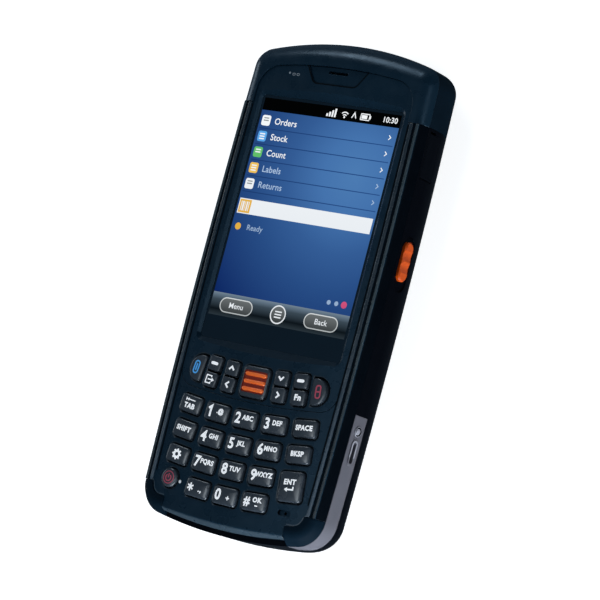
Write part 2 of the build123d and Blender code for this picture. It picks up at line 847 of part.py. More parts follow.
with BuildPart() as left_scan_button:
    add(mirror(right_scan_button.part, about=Plane.YZ))
finish(left_scan_button, "left_scan_button")

switch_face_x = button_flange_x - button_travel - seat_gap
with BuildPart() as side_switches:
    for side in (-1, 1):
        with BuildSketch(Plane.XY.offset(button_z - switch_height / 2)):
            with Locations((side * (switch_face_x - switch_thickness / 2), button_y)):
                Rectangle(switch_thickness, switch_length)
        extrude(amount=switch_height)
finish(side_switches, "side_switches")

# ---- port cover, port and the frame that holds them ---------------------------------------------
flap_wall_x = flank_x_at(flap_low_y)
hinge_x = flap_wall_x - flap_thickness / 2
knuckle_radius = flap_thickness / 2
flap_mid_z = (flap_low_z + flap_high_z) / 2
port_x = flank_x_at(flap_high_y) - port_frame_depth
port_y = (flap_low_y + flap_high_y) / 2


def flank_zone(y_low, y_high, z_low, z_high, depth):
    """Space of the right flank, from a depth under the outer form outwards."""
    with BuildPart() as zone:
        add(block(width, y_high - y_low, width / 2, (y_low + y_high) / 2, z_low, z_high))
        add(rear_form(depth), mode=Mode.SUBTRACT)
    return zone.part


with BuildPart() as port_cover:
    add(flank_zone(flap_low_y, flap_high_y, flap_low_z, flap_high_z, flap_thickness))
    add(rear_outer, mode=Mode.INTERSECT)
    with BuildSketch(Plane.XY.offset(flap_low_z)):
        with Locations((hinge_x, flap_low_y)):
            Circle(knuckle_radius)
    extrude(amount=flap_high_z - flap_low_z)
    with BuildSketch(Plane.XY.offset(flap_low_z - flap_pin_length)):
        with Locations((hinge_x, flap_low_y)):
            Circle(flap_pin_radius)
    extrude(amount=flap_high_z - flap_low_z + 2 * flap_pin_length)
finish(port_cover, "port_cover")

with BuildPart() as port_socket:
    with BuildSketch(Plane.YZ.offset(port_x - port_depth)):
        with Locations((port_y, flap_mid_z)):
            RectangleRounded(
                port_width + 2 * port_wall, port_height + 2 * port_wall, port_wall
            )
    extrude(amount=port_depth - seat_gap)
    with BuildSketch(Plane.YZ.offset(port_x - port_depth + port_wall)):
        with Locations((port_y, flap_mid_z)):
            RectangleRounded(port_width, port_height, port_wall)
    extrude(amount=port_depth, mode=Mode.SUBTRACT)
    with BuildSketch(Plane.YZ.offset(port_x - port_depth)):
        with Locations((port_y, flap_mid_z)):
            Rectangle(port_width - 4 * port_wall, port_wall)
    extrude(amount=port_depth - 2 * port_wall)
finish(port_socket, "port_socket")

# ---- battery, its cover and latch ---------------------------------------------------------------
battery_low_z = back_height(battery_width / 2, cover_thickness) + battery_gap / 2
battery_top_z = battery_low_z + battery_thickness
bay_ceiling_z = battery_top_z + battery_gap
frame_top_z = bay_ceiling_z + bay_roof


def cover_face(grow, z=0.0):
    """Plan of the battery cover, grown all round, at height z."""
    with BuildSketch(Plane.XY.offset(z)) as face:
        with Locations((0, cover_y)):
            RectangleRounded(cover_width + 2 * grow, cover_length + 2 * grow, cover_corner + grow)
    return face.sketch


with BuildPart() as battery_pack:
    with BuildSketch(Plane.XY.offset(battery_low_z)):
        with Locations((0, battery_y)):
            RectangleRounded(battery_width, battery_length, battery_corner)
    extrude(amount=battery_thickness)
    chamfer(battery_pack.faces().sort_by(Axis.Z)[0].edges(), key_bevel)
    with BuildSketch(Plane.XY.offset(battery_top_z)):
        with Locations((0, battery_y + battery_length / 2 - battery_corner)):
            with GridLocations(2 * battery_corner, 0, 4, 1):
                Rectangle(battery_corner, battery_corner)
    extrude(amount=-battery_gap, mode=Mode.SUBTRACT)
finish(battery_pack, "battery_pack")

cover_seat = rear_form(cover_thickness)
with BuildPart() as battery_cover:
    extrude(cover_face(0.0), amount=frame_top_z)
    add(rear_outer, mode=Mode.INTERSECT)
    add(cover_seat, mode=Mode.SUBTRACT)
    with BuildSketch(Plane.XY):
        with Locations((0, cover_y - cover_length / 2 + 2 * cover_corner)):
            with GridLocations(0, cover_thickness, 1, 4):
                SlotOverall(cover_width / 3, cover_thickness / 2)
    extrude(amount=cover_thickness / 3, mode=Mode.SUBTRACT)
finish(battery_cover, "battery_cover")

cover_top_y = cover_y + cover_length / 2
latch_low_y = latch_y - latch_length / 2
latch_pocket_length = latch_length + latch_travel + 2 * latch_gap
latch_pocket_y = latch_low_y - latch_gap + latch_pocket_length / 2
latch_pocket_low_y = latch_low_y - latch_gap
tongue_tip_y = cover_top_y + seam_gap + latch_tongue_gap
with BuildPart() as battery_latch:
    add(block(latch_width, latch_length, 0, latch_y, latch_face_z, latch_step_z))
    with BuildSketch(Plane.YZ) as grip:
        with Locations((latch_y, latch_face_z)):
            with GridLocations(latch_rib_pitch, 0, 3, 1):
                Circle(latch_rib_pitch / 4)
    extrude(amount=latch_width / 3, both=True, mode=Mode.SUBTRACT)
    add(block(
        latch_width + 2 * latch_flange, latch_length, 0, latch_y, latch_step_z, latch_top_z
    ))
    add(block(
        latch_tongue_width, latch_low_y - tongue_tip_y, 0, (latch_low_y + tongue_tip_y) / 2,
        latch_step_z, latch_top_z,
    ))
finish(battery_latch, "battery_latch")

# ---- rear housing -------------------------------------------------------------------------------
with BuildPart() as bay_frame:
    extrude(cover_face(frame_margin), amount=frame_top_z)
    add(rear_outer, mode=Mode.INTERSECT)

with BuildPart() as cover_recess:
    extrude(cover_face(seam_gap), amount=frame_top_z)
    add(rear_form(cover_thickness + seat_gap), mode=Mode.SUBTRACT)

# one button's way through the wall: thumb scoop outside, flat seat for the flange inside
with BuildPart() as button_cut:
    with BuildSketch(Plane.YZ.offset(button_flange_x)):
        with Locations((button_y, button_z)):
            SlotOverall(button_length + 2 * button_gap, button_height + 2 * button_gap)
    extrude(amount=width / 2 + button_rise - button_flange_x)
    with BuildSketch(Plane.YZ.offset(scoop_floor_x)):
        with Locations((scoop_y, button_z)):
            SlotOverall(scoop_length, scoop_height)
    extrude(amount=2 * scoop_depth)
    with BuildSketch(Plane.YZ.offset(button_flange_x - button_flange_thickness)):
        with Locations((button_y, button_z)):
            flange_room = 2 * (button_flange_lip + button_gap)
            SlotOverall(button_length + flange_room, button_height + flange_room)
    extrude(amount=inner_wall_x - button_flange_x + button_flange_thickness)

# recess, pivot holes, finger slit and port opening behind the port cover
with BuildPart() as port_cut:
    add(flank_zone(
        flap_low_y, flap_high_y + flap_gap, flap_low_z - flap_gap, flap_high_z + flap_gap,
        flap_thickness + flap_gap,
    ))
    add(flank_zone(
        flap_high_y, flap_high_y + slit_length, slit_low_z, flap_high_z, flap_thickness - flap_gap,
    ))
    with BuildSketch(Plane.XY.offset(flap_low_z - flap_gap)):
        with Locations((hinge_x, flap_low_y)):
            Circle(knuckle_radius + flap_gap)
    extrude(amount=flap_high_z - flap_low_z + 2 * flap_gap)
    # room for the outer edge of the flap as it turns past its hinge
    turning_room = knuckle_radius + 2 * flap_gap
    add(block(
        width, turning_room, hinge_x + width / 2, flap_low_y - turning_room / 2,
        flap_low_z - flap_gap, flap_high_z + flap_gap,
    ))
    with BuildSketch(Plane.XY.offset(flap_low_z - flap_pin_length - flap_gap)):
        with Locations((hinge_x, flap_low_y)):
            Circle(flap_pin_radius + flap_pin_clearance)
    extrude(amount=flap_high_z - flap_low_z + 2 * (flap_pin_length + flap_gap))
    with BuildSketch(Plane.YZ.offset(port_x - port_wall)):
        with Locations((port_y, flap_mid_z)):
            RectangleRounded(port_width, port_height, port_wall)
    extrude(amount=port_frame_depth)

with BuildPart() as latch_pocket:
    add(block(
        latch_width + 2 * latch_gap, latch_pocket_length, 0, latch_pocket_y,
        0, latch_top_z + latch_gap,
    ))
    add(block(
        latch_width + 2 * (latch_flange + latch_gap), latch_pocket_length, 0, latch_pocket_y,
        latch_step_z - seat_gap, latch_top_z + latch_gap,
    ))
    add(block(
        latch_tongue_width + 2 * latch_gap, latch_pocket_low_y - cover_top_y, 0,
        (latch_pocket_low_y + cover_top_y) / 2, latch_step_z - seat_gap, latch_top_z + latch_gap,
    ))

with BuildPart() as rear_housing:
    add(rear_outer)
    add(rear_inner, mode=Mode.SUBTRACT)
    add(bay_frame.part)
    add(block(
        latch_width + 2 * latch_flange + 2 * latch_block_margin,
        latch_pocket_length + 2 * latch_block_margin, 0, latch_pocket_y,
        rear_wall / 2, latch_block_z,
    ))
    add(flank_zone(
        flap_low_y - 2 * flap_thickness, cap_y, flap_low_z - port_frame_margin,
        seam_z - seat_gap, port_frame_depth,
    ))
    # screw bosses, backs of the side switches, standoffs of the main board
    with BuildSketch(Plane.XY.offset(rear_wall)):
        with Locations(screw_places):
            Circle(boss_radius)
    extrude(amount=seam_z - seat_gap - rear_wall)
    with BuildSketch(Plane.XY.offset(rear_wall)):
        for side in (-1, 1):
            post_x = switch_face_x - switch_thickness - post_thickness / 2
            with Locations((side * post_x, button_y)):
                Rectangle(post_thickness, post_length)
    extrude(amount=button_z + switch_height - rear_wall)
    with BuildSketch(Plane.XY.offset(frame_top_z)):
        with Locations((0, battery_y)):
            with GridLocations(battery_width, battery_length - 2 * standoff_radius, 2, 2):
                Circle(standoff_radius)
    extrude(amount=standoff_height)
    # the posts stay inside the outer form, and the scanning end is left to its cap
    add(rear_outer, mode=Mode.INTERSECT)
    split(bisect_by=Plane((0, cap_y, 0), z_dir=(0, 1, 0)), keep=Keep.BOTTOM)
    # battery bay, seat of its cover, latch pocket
    add(cover_recess.part, mode=Mode.SUBTRACT)
    with BuildSketch(Plane.XY):
        with Locations((0, battery_y)):
            RectangleRounded(
                battery_width + 2 * battery_gap, battery_length + 2 * battery_gap,
                battery_corner + battery_gap,
            )
    extrude(amount=bay_ceiling_z, mode=Mode.SUBTRACT)
    add(latch_pocket.part, mode=Mode.SUBTRACT)
    # flanks
    add(band_zone(band_gap, seam_z + seat_gap), mode=Mode.SUBTRACT)
    with BuildSketch(Plane.YZ.offset(flank_wall_x - strap_slot_depth)):
        with Locations((strap_slot_y, band_mid_z)):
            SlotOverall(strap_slot_length, strap_slot_height)
    extrude(amount=strap_slot_depth, mode=Mode.SUBTRACT)
    add(button_cut.part, mode=Mode.SUBTRACT)
    add(mirror(button_cut.part, about=Plane.YZ), mode=Mode.SUBTRACT)
    add(port_cut.part, mode=Mode.SUBTRACT)
    # camera bore and seat, loudspeaker slots
    with BuildSketch(Plane.XY):
        with Locations((camera_x, back_device_y)):
            Circle(camera_bore_radius)
        with Locations((speaker_x, back_device_y)):
            with GridLocations(0, grille_pitch, 1, grille_count):
                SlotOverall(grille_slot_length, grille_slot_width)
    extrude(amount=2 * rear_wall, mode=Mode.SUBTRACT)
    with BuildSketch(Plane.XY):
        with Locations((camera_x, back_device_y)):
            Circle(camera_window_radius + seat_gap)
    extrude(amount=camera_window_sink + camera_window_thickness, mode=Mode.SUBTRACT)
    # dock opening in the end wall
    with BuildSketch(Plane.XZ.offset(-dock_end_y - 2 * rear_wall)):
        with Locations((0, dock_z)):
            RectangleRounded(dock_width, dock_height, dock_wall / 2)
    extrude(amount=2 * rear_wall + seam_gap, mode=Mode.SUBTRACT)
    # screw holes from the back
    with BuildSketch(Plane.XY):
        with Locations(screw_places):
            Circle(screw_shank_radius + screw_clearance)
    extrude(amount=seam_z, mode=Mode.SUBTRACT)
    with BuildSketch(Plane.XY):
        with Locations(screw_places):
            Circle(screw_head_radius + screw_clearance)
    extrude(amount=screw_seat_z, mode=Mode.SUBTRACT)
finish(rear_housing, "rear_housing")

with BuildPart() as housing_screws:
    with BuildSketch(Plane.XY.offset(screw_seat_z - screw_head_height)):
        with Locations(screw_places):
            Circle(screw_head_radius)
    extrude(amount=screw_head_height)
    with BuildSketch(Plane.XY.offset(screw_seat_z)):
        with Locations(screw_places):
            Circle(screw_shank_radius)
    extrude(amount=screw_tip_z - screw_seat_z)
    with BuildSketch(Plane.XY.offset(screw_seat_z - screw_head_height)):
        with Locations(screw_places):
            RegularPolygon(screw_shank_radius, 6)
    extrude(amount=screw_head_height / 2, mode=Mode.SUBTRACT)
finish(housing_screws, "housing_screws")

# ---- scanning end -------------------------------------------------------------------------------
pane_high_y = scan_end_y - scan_window_sink
pane_low_y = pane_high_y - scan_window_thickness
scan_frame_low_y = scan_end_y - scan_frame_depth - scan_window_sink
engine_y = scan_frame_low_y - seat_gap - engine_length / 2
engine_low_z = scan_window_z - engine_height / 2

with BuildPart() as scanner_cap:
    add(rear_outer)
    add(rear_inner, mode=Mode.SUBTRACT)
    add(block(
        scan_window_width + 2 * scan_frame_margin, scan_frame_depth + scan_window_sink,
        0, (scan_frame_low_y + scan_end_y) / 2, rear_wall, scan_window_z + scan_window_height / 2
        + scan_frame_margin,
    ))
    add(block(
        engine_width, engine_length - 2 * scan_frame_margin, 0, engine_y,
        rear_wall / 2, engine_low_z - seat_gap,
    ))
    add(rear_outer, mode=Mode.INTERSECT)
    split(bisect_by=Plane((0, cap_y + seam_gap, 0), z_dir=(0, 1, 0)), keep=Keep.TOP)
    with BuildSketch(Plane.XZ.offset(-(pane_low_y - seat_gap))):
        with Locations((0, scan_window_z)):
            RectangleRounded(
                scan_window_width + 2 * seat_gap, scan_window_height + 2 * seat_gap, cover_corner / 2
            )
    extrude(amount=-2 * scan_frame_depth, mode=Mode.SUBTRACT)
    with BuildSketch(Plane.XZ.offset(-(scan_frame_low_y - seat_gap))):
        with Locations((0, scan_window_z)):
            RectangleRounded(
                scan_window_width - 2 * scan_window_lip, scan_window_height - 2 * scan_window_lip,
                cover_corner / 4,
            )
    extrude(amount=-2 * scan_frame_depth, mode=Mode.SUBTRACT)
finish(scanner_cap, "scanner_cap")

with BuildPart() as scan_window:
    with BuildSketch(Plane.XZ.offset(-pane_low_y)):
        with Locations((0, scan_window_z)):
            RectangleRounded(scan_window_width, scan_window_height, cover_corner / 2)
    extrude(amount=-scan_window_thickness)
finish(scan_window, "scan_window")

with BuildPart() as scan_engine:
    add(block(
        engine_width, engine_length, 0, engine_y, engine_low_z, engine_low_z + engine_height
    ))
    chamfer(scan_engine.edges().filter_by(Axis.Y), key_bevel)
    with BuildSketch(Plane.XZ.offset(-(engine_y + engine_length / 2))):
        with Locations((-engine_width / 5, scan_window_z)):
            Circle(engine_height / 4)
        with Locations((engine_width / 4, scan_window_z)):
            Rectangle(engine_width / 4, engine_height / 2)
    extrude(amount=engine_gap, mode=Mode.SUBTRACT)
finish(scan_engine, "scan_engine")

# ---- main board ---------------------------------------------------------------------------------
main_board_z = frame_top_z + standoff_height
with BuildPart() as main_board:
    add(block(
        main_board_width, main_board_top_y - main_board_bottom_y, 0,
        (main_board_top_y + main_board_bottom_y) / 2, main_board_z,
        main_board_z + board_thickness,
    ))
    with BuildSketch(Plane.XY.offset(main_board_z + board_thickness)):
        with GridLocations(can_width + board_thickness, can_length + board_thickness, 2, 3):
            Rectangle(can_width, can_length)
    extrude(amount=can_rise)
finish(main_board, "main_board")

# ---- camera and loudspeaker ---------------------------------------------------------------------
with BuildPart() as camera_window:
    with BuildSketch(Plane.XY.offset(camera_window_sink)):
        with Locations((camera_x, back_device_y)):
            Circle(camera_window_radius)
    extrude(amount=camera_window_thickness)
finish(camera_window, "camera_window")

with BuildPart() as camera_module:
    add(block(
        camera_size, camera_size, camera_x, back_device_y, rear_wall + seat_gap,
        rear_wall + seat_gap + camera_height,
    ))
    with BuildSketch(Plane.XY.offset(rear_wall + seat_gap)):
        with Locations((camera_x, back_device_y)):
            Circle(camera_bore_radius - seat_gap)
    extrude(amount=-camera_window_thickness / 2)
finish(camera_module, "camera_module")

with BuildPart() as loudspeaker:
    with BuildSketch(Plane.XY.offset(rear_wall + seat_gap)):
        with Locations((speaker_x, back_device_y)):
            RectangleRounded(speaker_width, speaker_length, cover_corner / 2)
    extrude(amount=speaker_height)
finish(loudspeaker, "loudspeaker")

# ---- dock connector -----------------------------------------------------------------------------
dock_body_width = dock_width + 2 * dock_wall
dock_front_y = seat_gap + body_shape.bottom_y + bottom_arch_radius - sqrt(
    (bottom_arch_radius - rear_wall) ** 2 - (dock_body_width / 2) ** 2
)
with BuildPart() as dock_connector:
    add(block(
        dock_body_width, dock_depth, 0, dock_front_y + dock_depth / 2,
        dock_z - dock_height / 2 - dock_wall, dock_z + dock_height / 2 + dock_wall,
    ))
    add(block(
        dock_width, dock_depth - dock_wall, 0, dock_front_y + (dock_depth - dock_wall) / 2,
        dock_z - dock_height / 2, dock_z + dock_height / 2,
    ), mode=Mode.SUBTRACT)
    add(block(
        dock_width - 2 * dock_wall, dock_depth - dock_wall, 0,
        dock_front_y + (dock_depth + dock_wall) / 2, dock_z - dock_wall / 2, dock_z + dock_wall / 2,
    ))
    with BuildSketch(Plane.XY.offset(dock_z + dock_wall / 2)):
        with Locations((0, dock_front_y + dock_depth / 2 + dock_wall / 2)):
            with GridLocations(dock_contact_pitch, 0, dock_contact_count, 1):
                Rectangle(dock_contact_pitch / 2, dock_depth - 2 * dock_wall)
    extrude(amount=seat_gap)
finish(dock_connector, "dock_connector")
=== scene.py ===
from math import asin, cos, pi, radians, sin, sqrt

import bmesh
import bpy
from mathutils import Matrix, Vector


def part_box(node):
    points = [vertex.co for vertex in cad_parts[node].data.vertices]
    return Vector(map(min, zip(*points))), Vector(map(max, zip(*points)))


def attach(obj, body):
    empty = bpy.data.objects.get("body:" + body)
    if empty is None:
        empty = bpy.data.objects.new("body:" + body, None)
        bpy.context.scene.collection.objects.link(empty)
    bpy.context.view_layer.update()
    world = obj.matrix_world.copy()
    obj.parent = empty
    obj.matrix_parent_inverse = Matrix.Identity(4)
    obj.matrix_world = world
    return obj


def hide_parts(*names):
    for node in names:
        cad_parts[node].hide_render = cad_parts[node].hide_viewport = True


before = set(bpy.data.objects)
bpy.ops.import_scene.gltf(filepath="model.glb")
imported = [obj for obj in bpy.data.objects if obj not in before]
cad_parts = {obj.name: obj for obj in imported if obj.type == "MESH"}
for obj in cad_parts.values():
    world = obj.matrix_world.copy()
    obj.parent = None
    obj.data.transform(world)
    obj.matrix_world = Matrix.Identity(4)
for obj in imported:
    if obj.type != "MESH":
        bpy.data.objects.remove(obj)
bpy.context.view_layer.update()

# The looks of the data terminal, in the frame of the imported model: it lies on its back, +Y towards
# the scanning end, +Z out of the display. Lengths are millimetres unless a name says otherwise;
# add_mesh turns them into metres.

MM = 0.001


# ---- camera and studio, in metres ---------------------------------------------------------------
CAMERA_PLACE = (0.53632, -0.09099, 0.73803)
CAMERA_FORWARD = (-0.59277, 0.09855, -0.79932)
CAMERA_UP = (-0.14727, 0.96249, 0.22788)
CAMERA_LENS, CAMERA_SENSOR = 174.0, 36.0
CAMERA_CLIP = 0.05

SKY_COLOUR, SKY_STRENGTH = (0.60, 0.80, 1.0, 1.0), 0.10
LIGHT_TINT = (0.84, 0.93, 1.0)
SOFTBOXES = (                  # name, direction, distance, size across, size along, radiance
    ("overhead", (-0.15, -0.27, 1.0), 1.0, 0.34, 0.54, 3.8),
    ("right", (0.74, -0.10, 0.66), 1.0, 0.20, 0.70, 3.0),
    ("left", (-1.0, 0.05, 0.14), 0.9, 0.22, 0.50, 3.0),
    ("far_left", (-0.45, 0.78, 0.42), 1.2, 0.50, 0.40, 4.5),
    ("low_right", (0.40, -0.91, 0.03), 0.30, 0.10, 0.24, 24.0),
)
FLOOR_HALF = 3.0
FLOOR_TONE, FLOOR_ROUGHNESS = (0.88, 0.88, 0.88, 1.0), 0.9
FLOOR_GLOW = 0.80


def set_up(thing, place, right, up, back):
    """Put a camera or a light at a place, turned to its own three axes."""
    turn = Matrix((right, up, back)).transposed().to_4x4()
    thing.matrix_world = Matrix.Translation(place) @ turn
    bpy.context.collection.objects.link(thing)


def add_camera():
    data = bpy.data.cameras.new("photo_camera")
    data.lens, data.sensor_width, data.clip_start = CAMERA_LENS, CAMERA_SENSOR, CAMERA_CLIP
    camera = bpy.data.objects.new("photo_camera", data)
    back = -Vector(CAMERA_FORWARD).normalized()
    right = Vector(CAMERA_UP).cross(back).normalized()
    set_up(camera, CAMERA_PLACE, right, back.cross(right), back)
    bpy.context.scene.camera = camera


def add_softbox(name, direction, distance, across, along, radiance):
    """Rectangular light that faces the object from a direction; along is its size the way that
    comes closest to the Y axis."""
    data = bpy.data.lights.new(name, "AREA")
    data.shape = "RECTANGLE"
    data.size, data.size_y = across, along
    data.energy = radiance * pi * across * along
    data.color = LIGHT_TINT
    away = Vector(direction).normalized()
    side = Vector((0, 1, 0)).cross(away).normalized()
    light = bpy.data.objects.new(name, data)
    set_up(light, distance * away, side, away.cross(side), away)


def add_studio():
    world = bpy.data.worlds.new("studio")
    world.use_nodes = True
    bpy.context.scene.world = world
    sky = world.node_tree.nodes["Background"]
    sky.inputs["Color"].default_value = SKY_COLOUR
    sky.inputs["Strength"].default_value = SKY_STRENGTH
    for softbox in SOFTBOXES:
        add_softbox(*softbox)
    bpy.context.scene.view_settings.view_transform = "Standard"


def add_floor():
    mesh = bpy.data.meshes.new("floor")
    corners = ((-1, -1), (1, -1), (1, 1), (-1, 1))
    mesh.from_pydata([(FLOOR_HALF * x, FLOOR_HALF * y, 0) for x, y in corners], [], [(0, 1, 2, 3)])
    floor = bpy.data.objects.new("floor", mesh)
    bpy.context.collection.objects.link(floor)
    # the white floor lights the flanks, but isn't mirrored in them
    floor.visible_glossy = False
    paper = Shading("floor_paper", FLOOR_ROUGHNESS, Base_Color=FLOOR_TONE,
                    Emission_Color=(1.0, 1.0, 1.0, 1.0), Emission_Strength=FLOOR_GLOW)
    mesh.materials.append(paper.material)


# ---- materials ----------------------------------------------------------------------------------
NOISE_MIDDLE = (0.3, 0.7)      # most of a noise lies between these
TONE_PATCH, GLOSS_PATCH = 14, 5
GRAIN_DETAIL = 2.0
BEVEL_SAMPLES = 6


class Shading:
    """A node material that is put together call by call; sizes are millimetres. A socket's or an
    input's name is written with _ for each space."""

    def __init__(self, name, rough, **sockets):
        self.material = bpy.data.materials.new(name)
        self.material.use_nodes = True
        self.nodes = self.material.node_tree.nodes
        self.links = self.material.node_tree.links
        self.shader = self.nodes["Principled BSDF"]
        self.rough = rough
        for socket, value in {"Roughness": rough, **sockets}.items():
            self.shader.inputs[socket.replace("_", " ")].default_value = value
        self.place = self.nodes.new("ShaderNodeTexCoord").outputs["Object"]

    def node(self, kind, source, socket, **values):
        """New node with a source linked to a socket, and values in others."""
        node = self.nodes.new("ShaderNode" + kind)
        for name, value in values.items():
            node.inputs[name.replace("_", " ")].default_value = value
        self.links.new(source, node.inputs[socket])
        return node

    def link(self, source, socket):
        self.links.new(source, self.shader.inputs[socket])

    def noise(self, size, detail=3.0, stretch=(1, 1, 1)):
        """Noise whose features are about size wide."""
        mapping = self.node("Mapping", self.place, "Vector", Scale=stretch)
        noise = self.node("TexNoise", mapping.outputs["Vector"], "Vector",
                          Scale=1.0 / (MM * size), Detail=detail)
        return noise.outputs["Fac"]

    def maths(self, kind, operation, source, value):
        """A source and a fixed value put through a maths node."""
        node = self.nodes.new("ShaderNode" + kind)
        node.operation = operation
        node.inputs[1].default_value = value
        self.links.new(source, node.inputs[0])
        return node.outputs["Value"]

    def slope(self, start, end):
        """0 to 1 along the line between two places in the XY plane."""
        run = (Vector(end) - Vector(start)) * MM
        rise = (*(run / run.length_squared), 0.0)
        first = Vector(start).dot(run) * MM / run.length_squared
        share = self.maths("VectorMath", "DOT_PRODUCT", self.place, rise)
        return self.maths("Math", "SUBTRACT", share, first)

    def distance(self, centre, reach):
        """0 at a place, 1 at a reach from it."""
        apart = self.maths("VectorMath", "DISTANCE", self.place, Vector(centre) * MM)
        return self.maths("Math", "DIVIDE", apart, reach * MM)

    def ramp(self, factor, stops):
        """Colour ramp over a factor: ((position, colour), ...)."""
        node = self.node("ValToRGB", factor, "Fac")
        elements = node.color_ramp.elements
        while len(elements) < len(stops):
            elements.new(0.5)
        for element, (position, colour) in zip(elements, stops):
            element.position = position
            element.color = (*colour, 1.0)
        return node.outputs["Color"]

    def mottle(self, size, dark, light):
        """Noise between two colours."""
        return self.ramp(self.noise(size), tuple(zip(NOISE_MIDDLE, (dark, light))))

    def spread(self, factor, low, high):
        """Map the middle of a noise onto a range of values."""
        node = self.node("MapRange", factor, "Value", From_Min=NOISE_MIDDLE[0],
                         From_Max=NOISE_MIDDLE[1], To_Min=low, To_Max=high)
        return node.outputs["Result"]

    def bump(self, height, depth, edge=0.0):
        """Fine relief; the surface also turns softly over edges, within a radius."""
        node = self.node("Bump", height, "Height", Distance=depth * MM)
        if edge:
            bevel = self.nodes.new("ShaderNodeBevel")
            bevel.samples = BEVEL_SAMPLES
            bevel.inputs["Radius"].default_value = edge * MM
            self.links.new(bevel.outputs["Normal"], node.inputs["Normal"])
        self.link(node.outputs["Normal"], "Normal")

    def skin(self, grain=0.25, depth=0.02, edge=0.15):
        """The surface of moulded plastic: slightly uneven gloss, fine spark-eroded grain."""
        gloss = self.spread(self.noise(GLOSS_PATCH), self.rough - 0.05, self.rough + 0.07)
        self.link(gloss, "Roughness")
        self.bump(self.noise(grain, GRAIN_DETAIL), depth, edge)
        return self.material


def moulded(name, dark, light, rough, grain=0.25, depth=0.02, edge=0.15, **sockets):
    """Moulded plastic of two close tones."""
    look = Shading(name, rough, **sockets)
    look.link(look.mottle(TONE_PATCH, dark, light), "Base Color")
    return look.skin(grain, depth, edge)


def graded(name, first, last, start, end, rough):
    """Moulded plastic whose tone changes along a line in the plan; it paints the highlights on the
    ribs.
    """
    look = Shading(name, rough)
    look.link(look.ramp(look.slope(start, end), ((0.0, first), (1.0, last))), "Base Color")
    return look.skin(depth=0.01)


def brushed(name, dark, light, rough, stretch):
    """Metal with fine lines along one axis."""
    look = Shading(name, rough, Metallic=1.0)
    lines = look.noise(0.3, 4.0, stretch)
    look.link(look.ramp(lines, ((0.25, dark), (0.75, light))), "Base Color")
    look.link(look.spread(lines, rough - 0.06, rough + 0.08), "Roughness")
    look.bump(lines, 0.01)
    return look.material


def glazed(name, tone, rough=0.06):
    """Dark glass or hard-coated plastic with a faint haze."""
    look = Shading(name, rough)
    look.link(look.mottle(20, tone, tuple(1.15 * v for v in tone)), "Base Color")
    look.link(look.spread(look.noise(9), rough * 0.8, rough * 1.3), "Roughness")
    return look.material


def inked(name, tone, rough=0.45, glow=0.0):
    """Printed ink, slightly uneven; glow makes the ink give off light of its own."""
    look = Shading(name, rough, Emission_Strength=glow)
    colour = look.mottle(1.5, tuple(0.9 * v for v in tone), tone)
    look.link(colour, "Base Color")
    look.link(colour, "Emission Color")
    return look.material


def lit(name, stops, start=(0, 0), end=(0, 1), reach=None):
    """Part of the picture on the display: colour stops along a line from start to end, or
    outwards from start as far as a reach."""
    look = Shading(name, 0.12, Base_Color=(0, 0, 0, 1), Specular_IOR_Level=0.06,
                   Emission_Strength=1.0)
    factor = look.distance(start, reach) if reach else look.slope(start, end)
    look.link(look.ramp(factor, stops), "Emission Color")
    return look.material


def lit_between(name, first, last, start=(0, 0), end=(0, 1)):
    return lit(name, ((0.0, first), (1.0, last)), start, end)


BLUE_GLOSS = (0.48, 0.75, 1.0, 1.0)
SHEEN = {"Specular_IOR_Level": 0.40, "Specular_Tint": BLUE_GLOSS}
DULL = {"Specular_IOR_Level": 0.07, "Specular_Tint": BLUE_GLOSS}
NAVY = (0.0040, 0.0155, 0.0290), (0.0050, 0.0190, 0.0350)
RIB_HIGHLIGHT_RUN = (0, -48), (0, -8)    # the painted highlight on the ribs changes beside the keypad

BODY = moulded("body_navy", *NAVY, 0.28, depth=0.012, **SHEEN)
BEZEL = moulded("bezel_navy", *NAVY, 0.28, depth=0.008, **SHEEN)
# painted shade: a darker, duller copy of the navy on the low part of the window's flare
FLARE_SHADE = moulded("low_flare_shade", (0.0034, 0.0130, 0.0240), (0.0040, 0.0150, 0.0275), 0.40,
                depth=0.008, **DULL)
# the rear is painted far darker than the front's navy: partly its own tone, partly painted shade on
# the flanks, which get little light
REAR_NAVY_AND_SHADE = moulded("rear_navy_and_shade", (0.0009, 0.0012, 0.0026), (0.0012, 0.0016, 0.0033), 0.38, **DULL)
BUMPER = moulded("bumper_navy", (0.0018, 0.0072, 0.0138), (0.0023, 0.0088, 0.0168), 0.55,
                 Specular_IOR_Level=0.02)
# painted highlights: the ribs are painted lighter than the navy, the inner one brightest beside the
# keypad, the outer one above it
INNER_RIB_HIGHLIGHT = graded("inner_rib_highlight", (0.046, 0.074, 0.104), (0.016, 0.029, 0.042), *RIB_HIGHLIGHT_RUN, 0.26)
OUTER_RIB_HIGHLIGHT = graded("outer_rib_highlight", (0.014, 0.025, 0.034), (0.034, 0.054, 0.066), *RIB_HIGHLIGHT_RUN, 0.28)
# painted highlight on the chamfers round the key sockets
RIM_HIGHLIGHT = moulded("socket_rim_highlight", (0.022, 0.038, 0.053), (0.027, 0.045, 0.062), 0.28)
# painted shade in the groove between the ribs, on the socket walls and on the flanges under the keys
GAP_SHADE = moulded("rib_gap_shade", (0.0008, 0.0026, 0.0050), (0.0011, 0.0034, 0.0064), 0.45, **DULL)
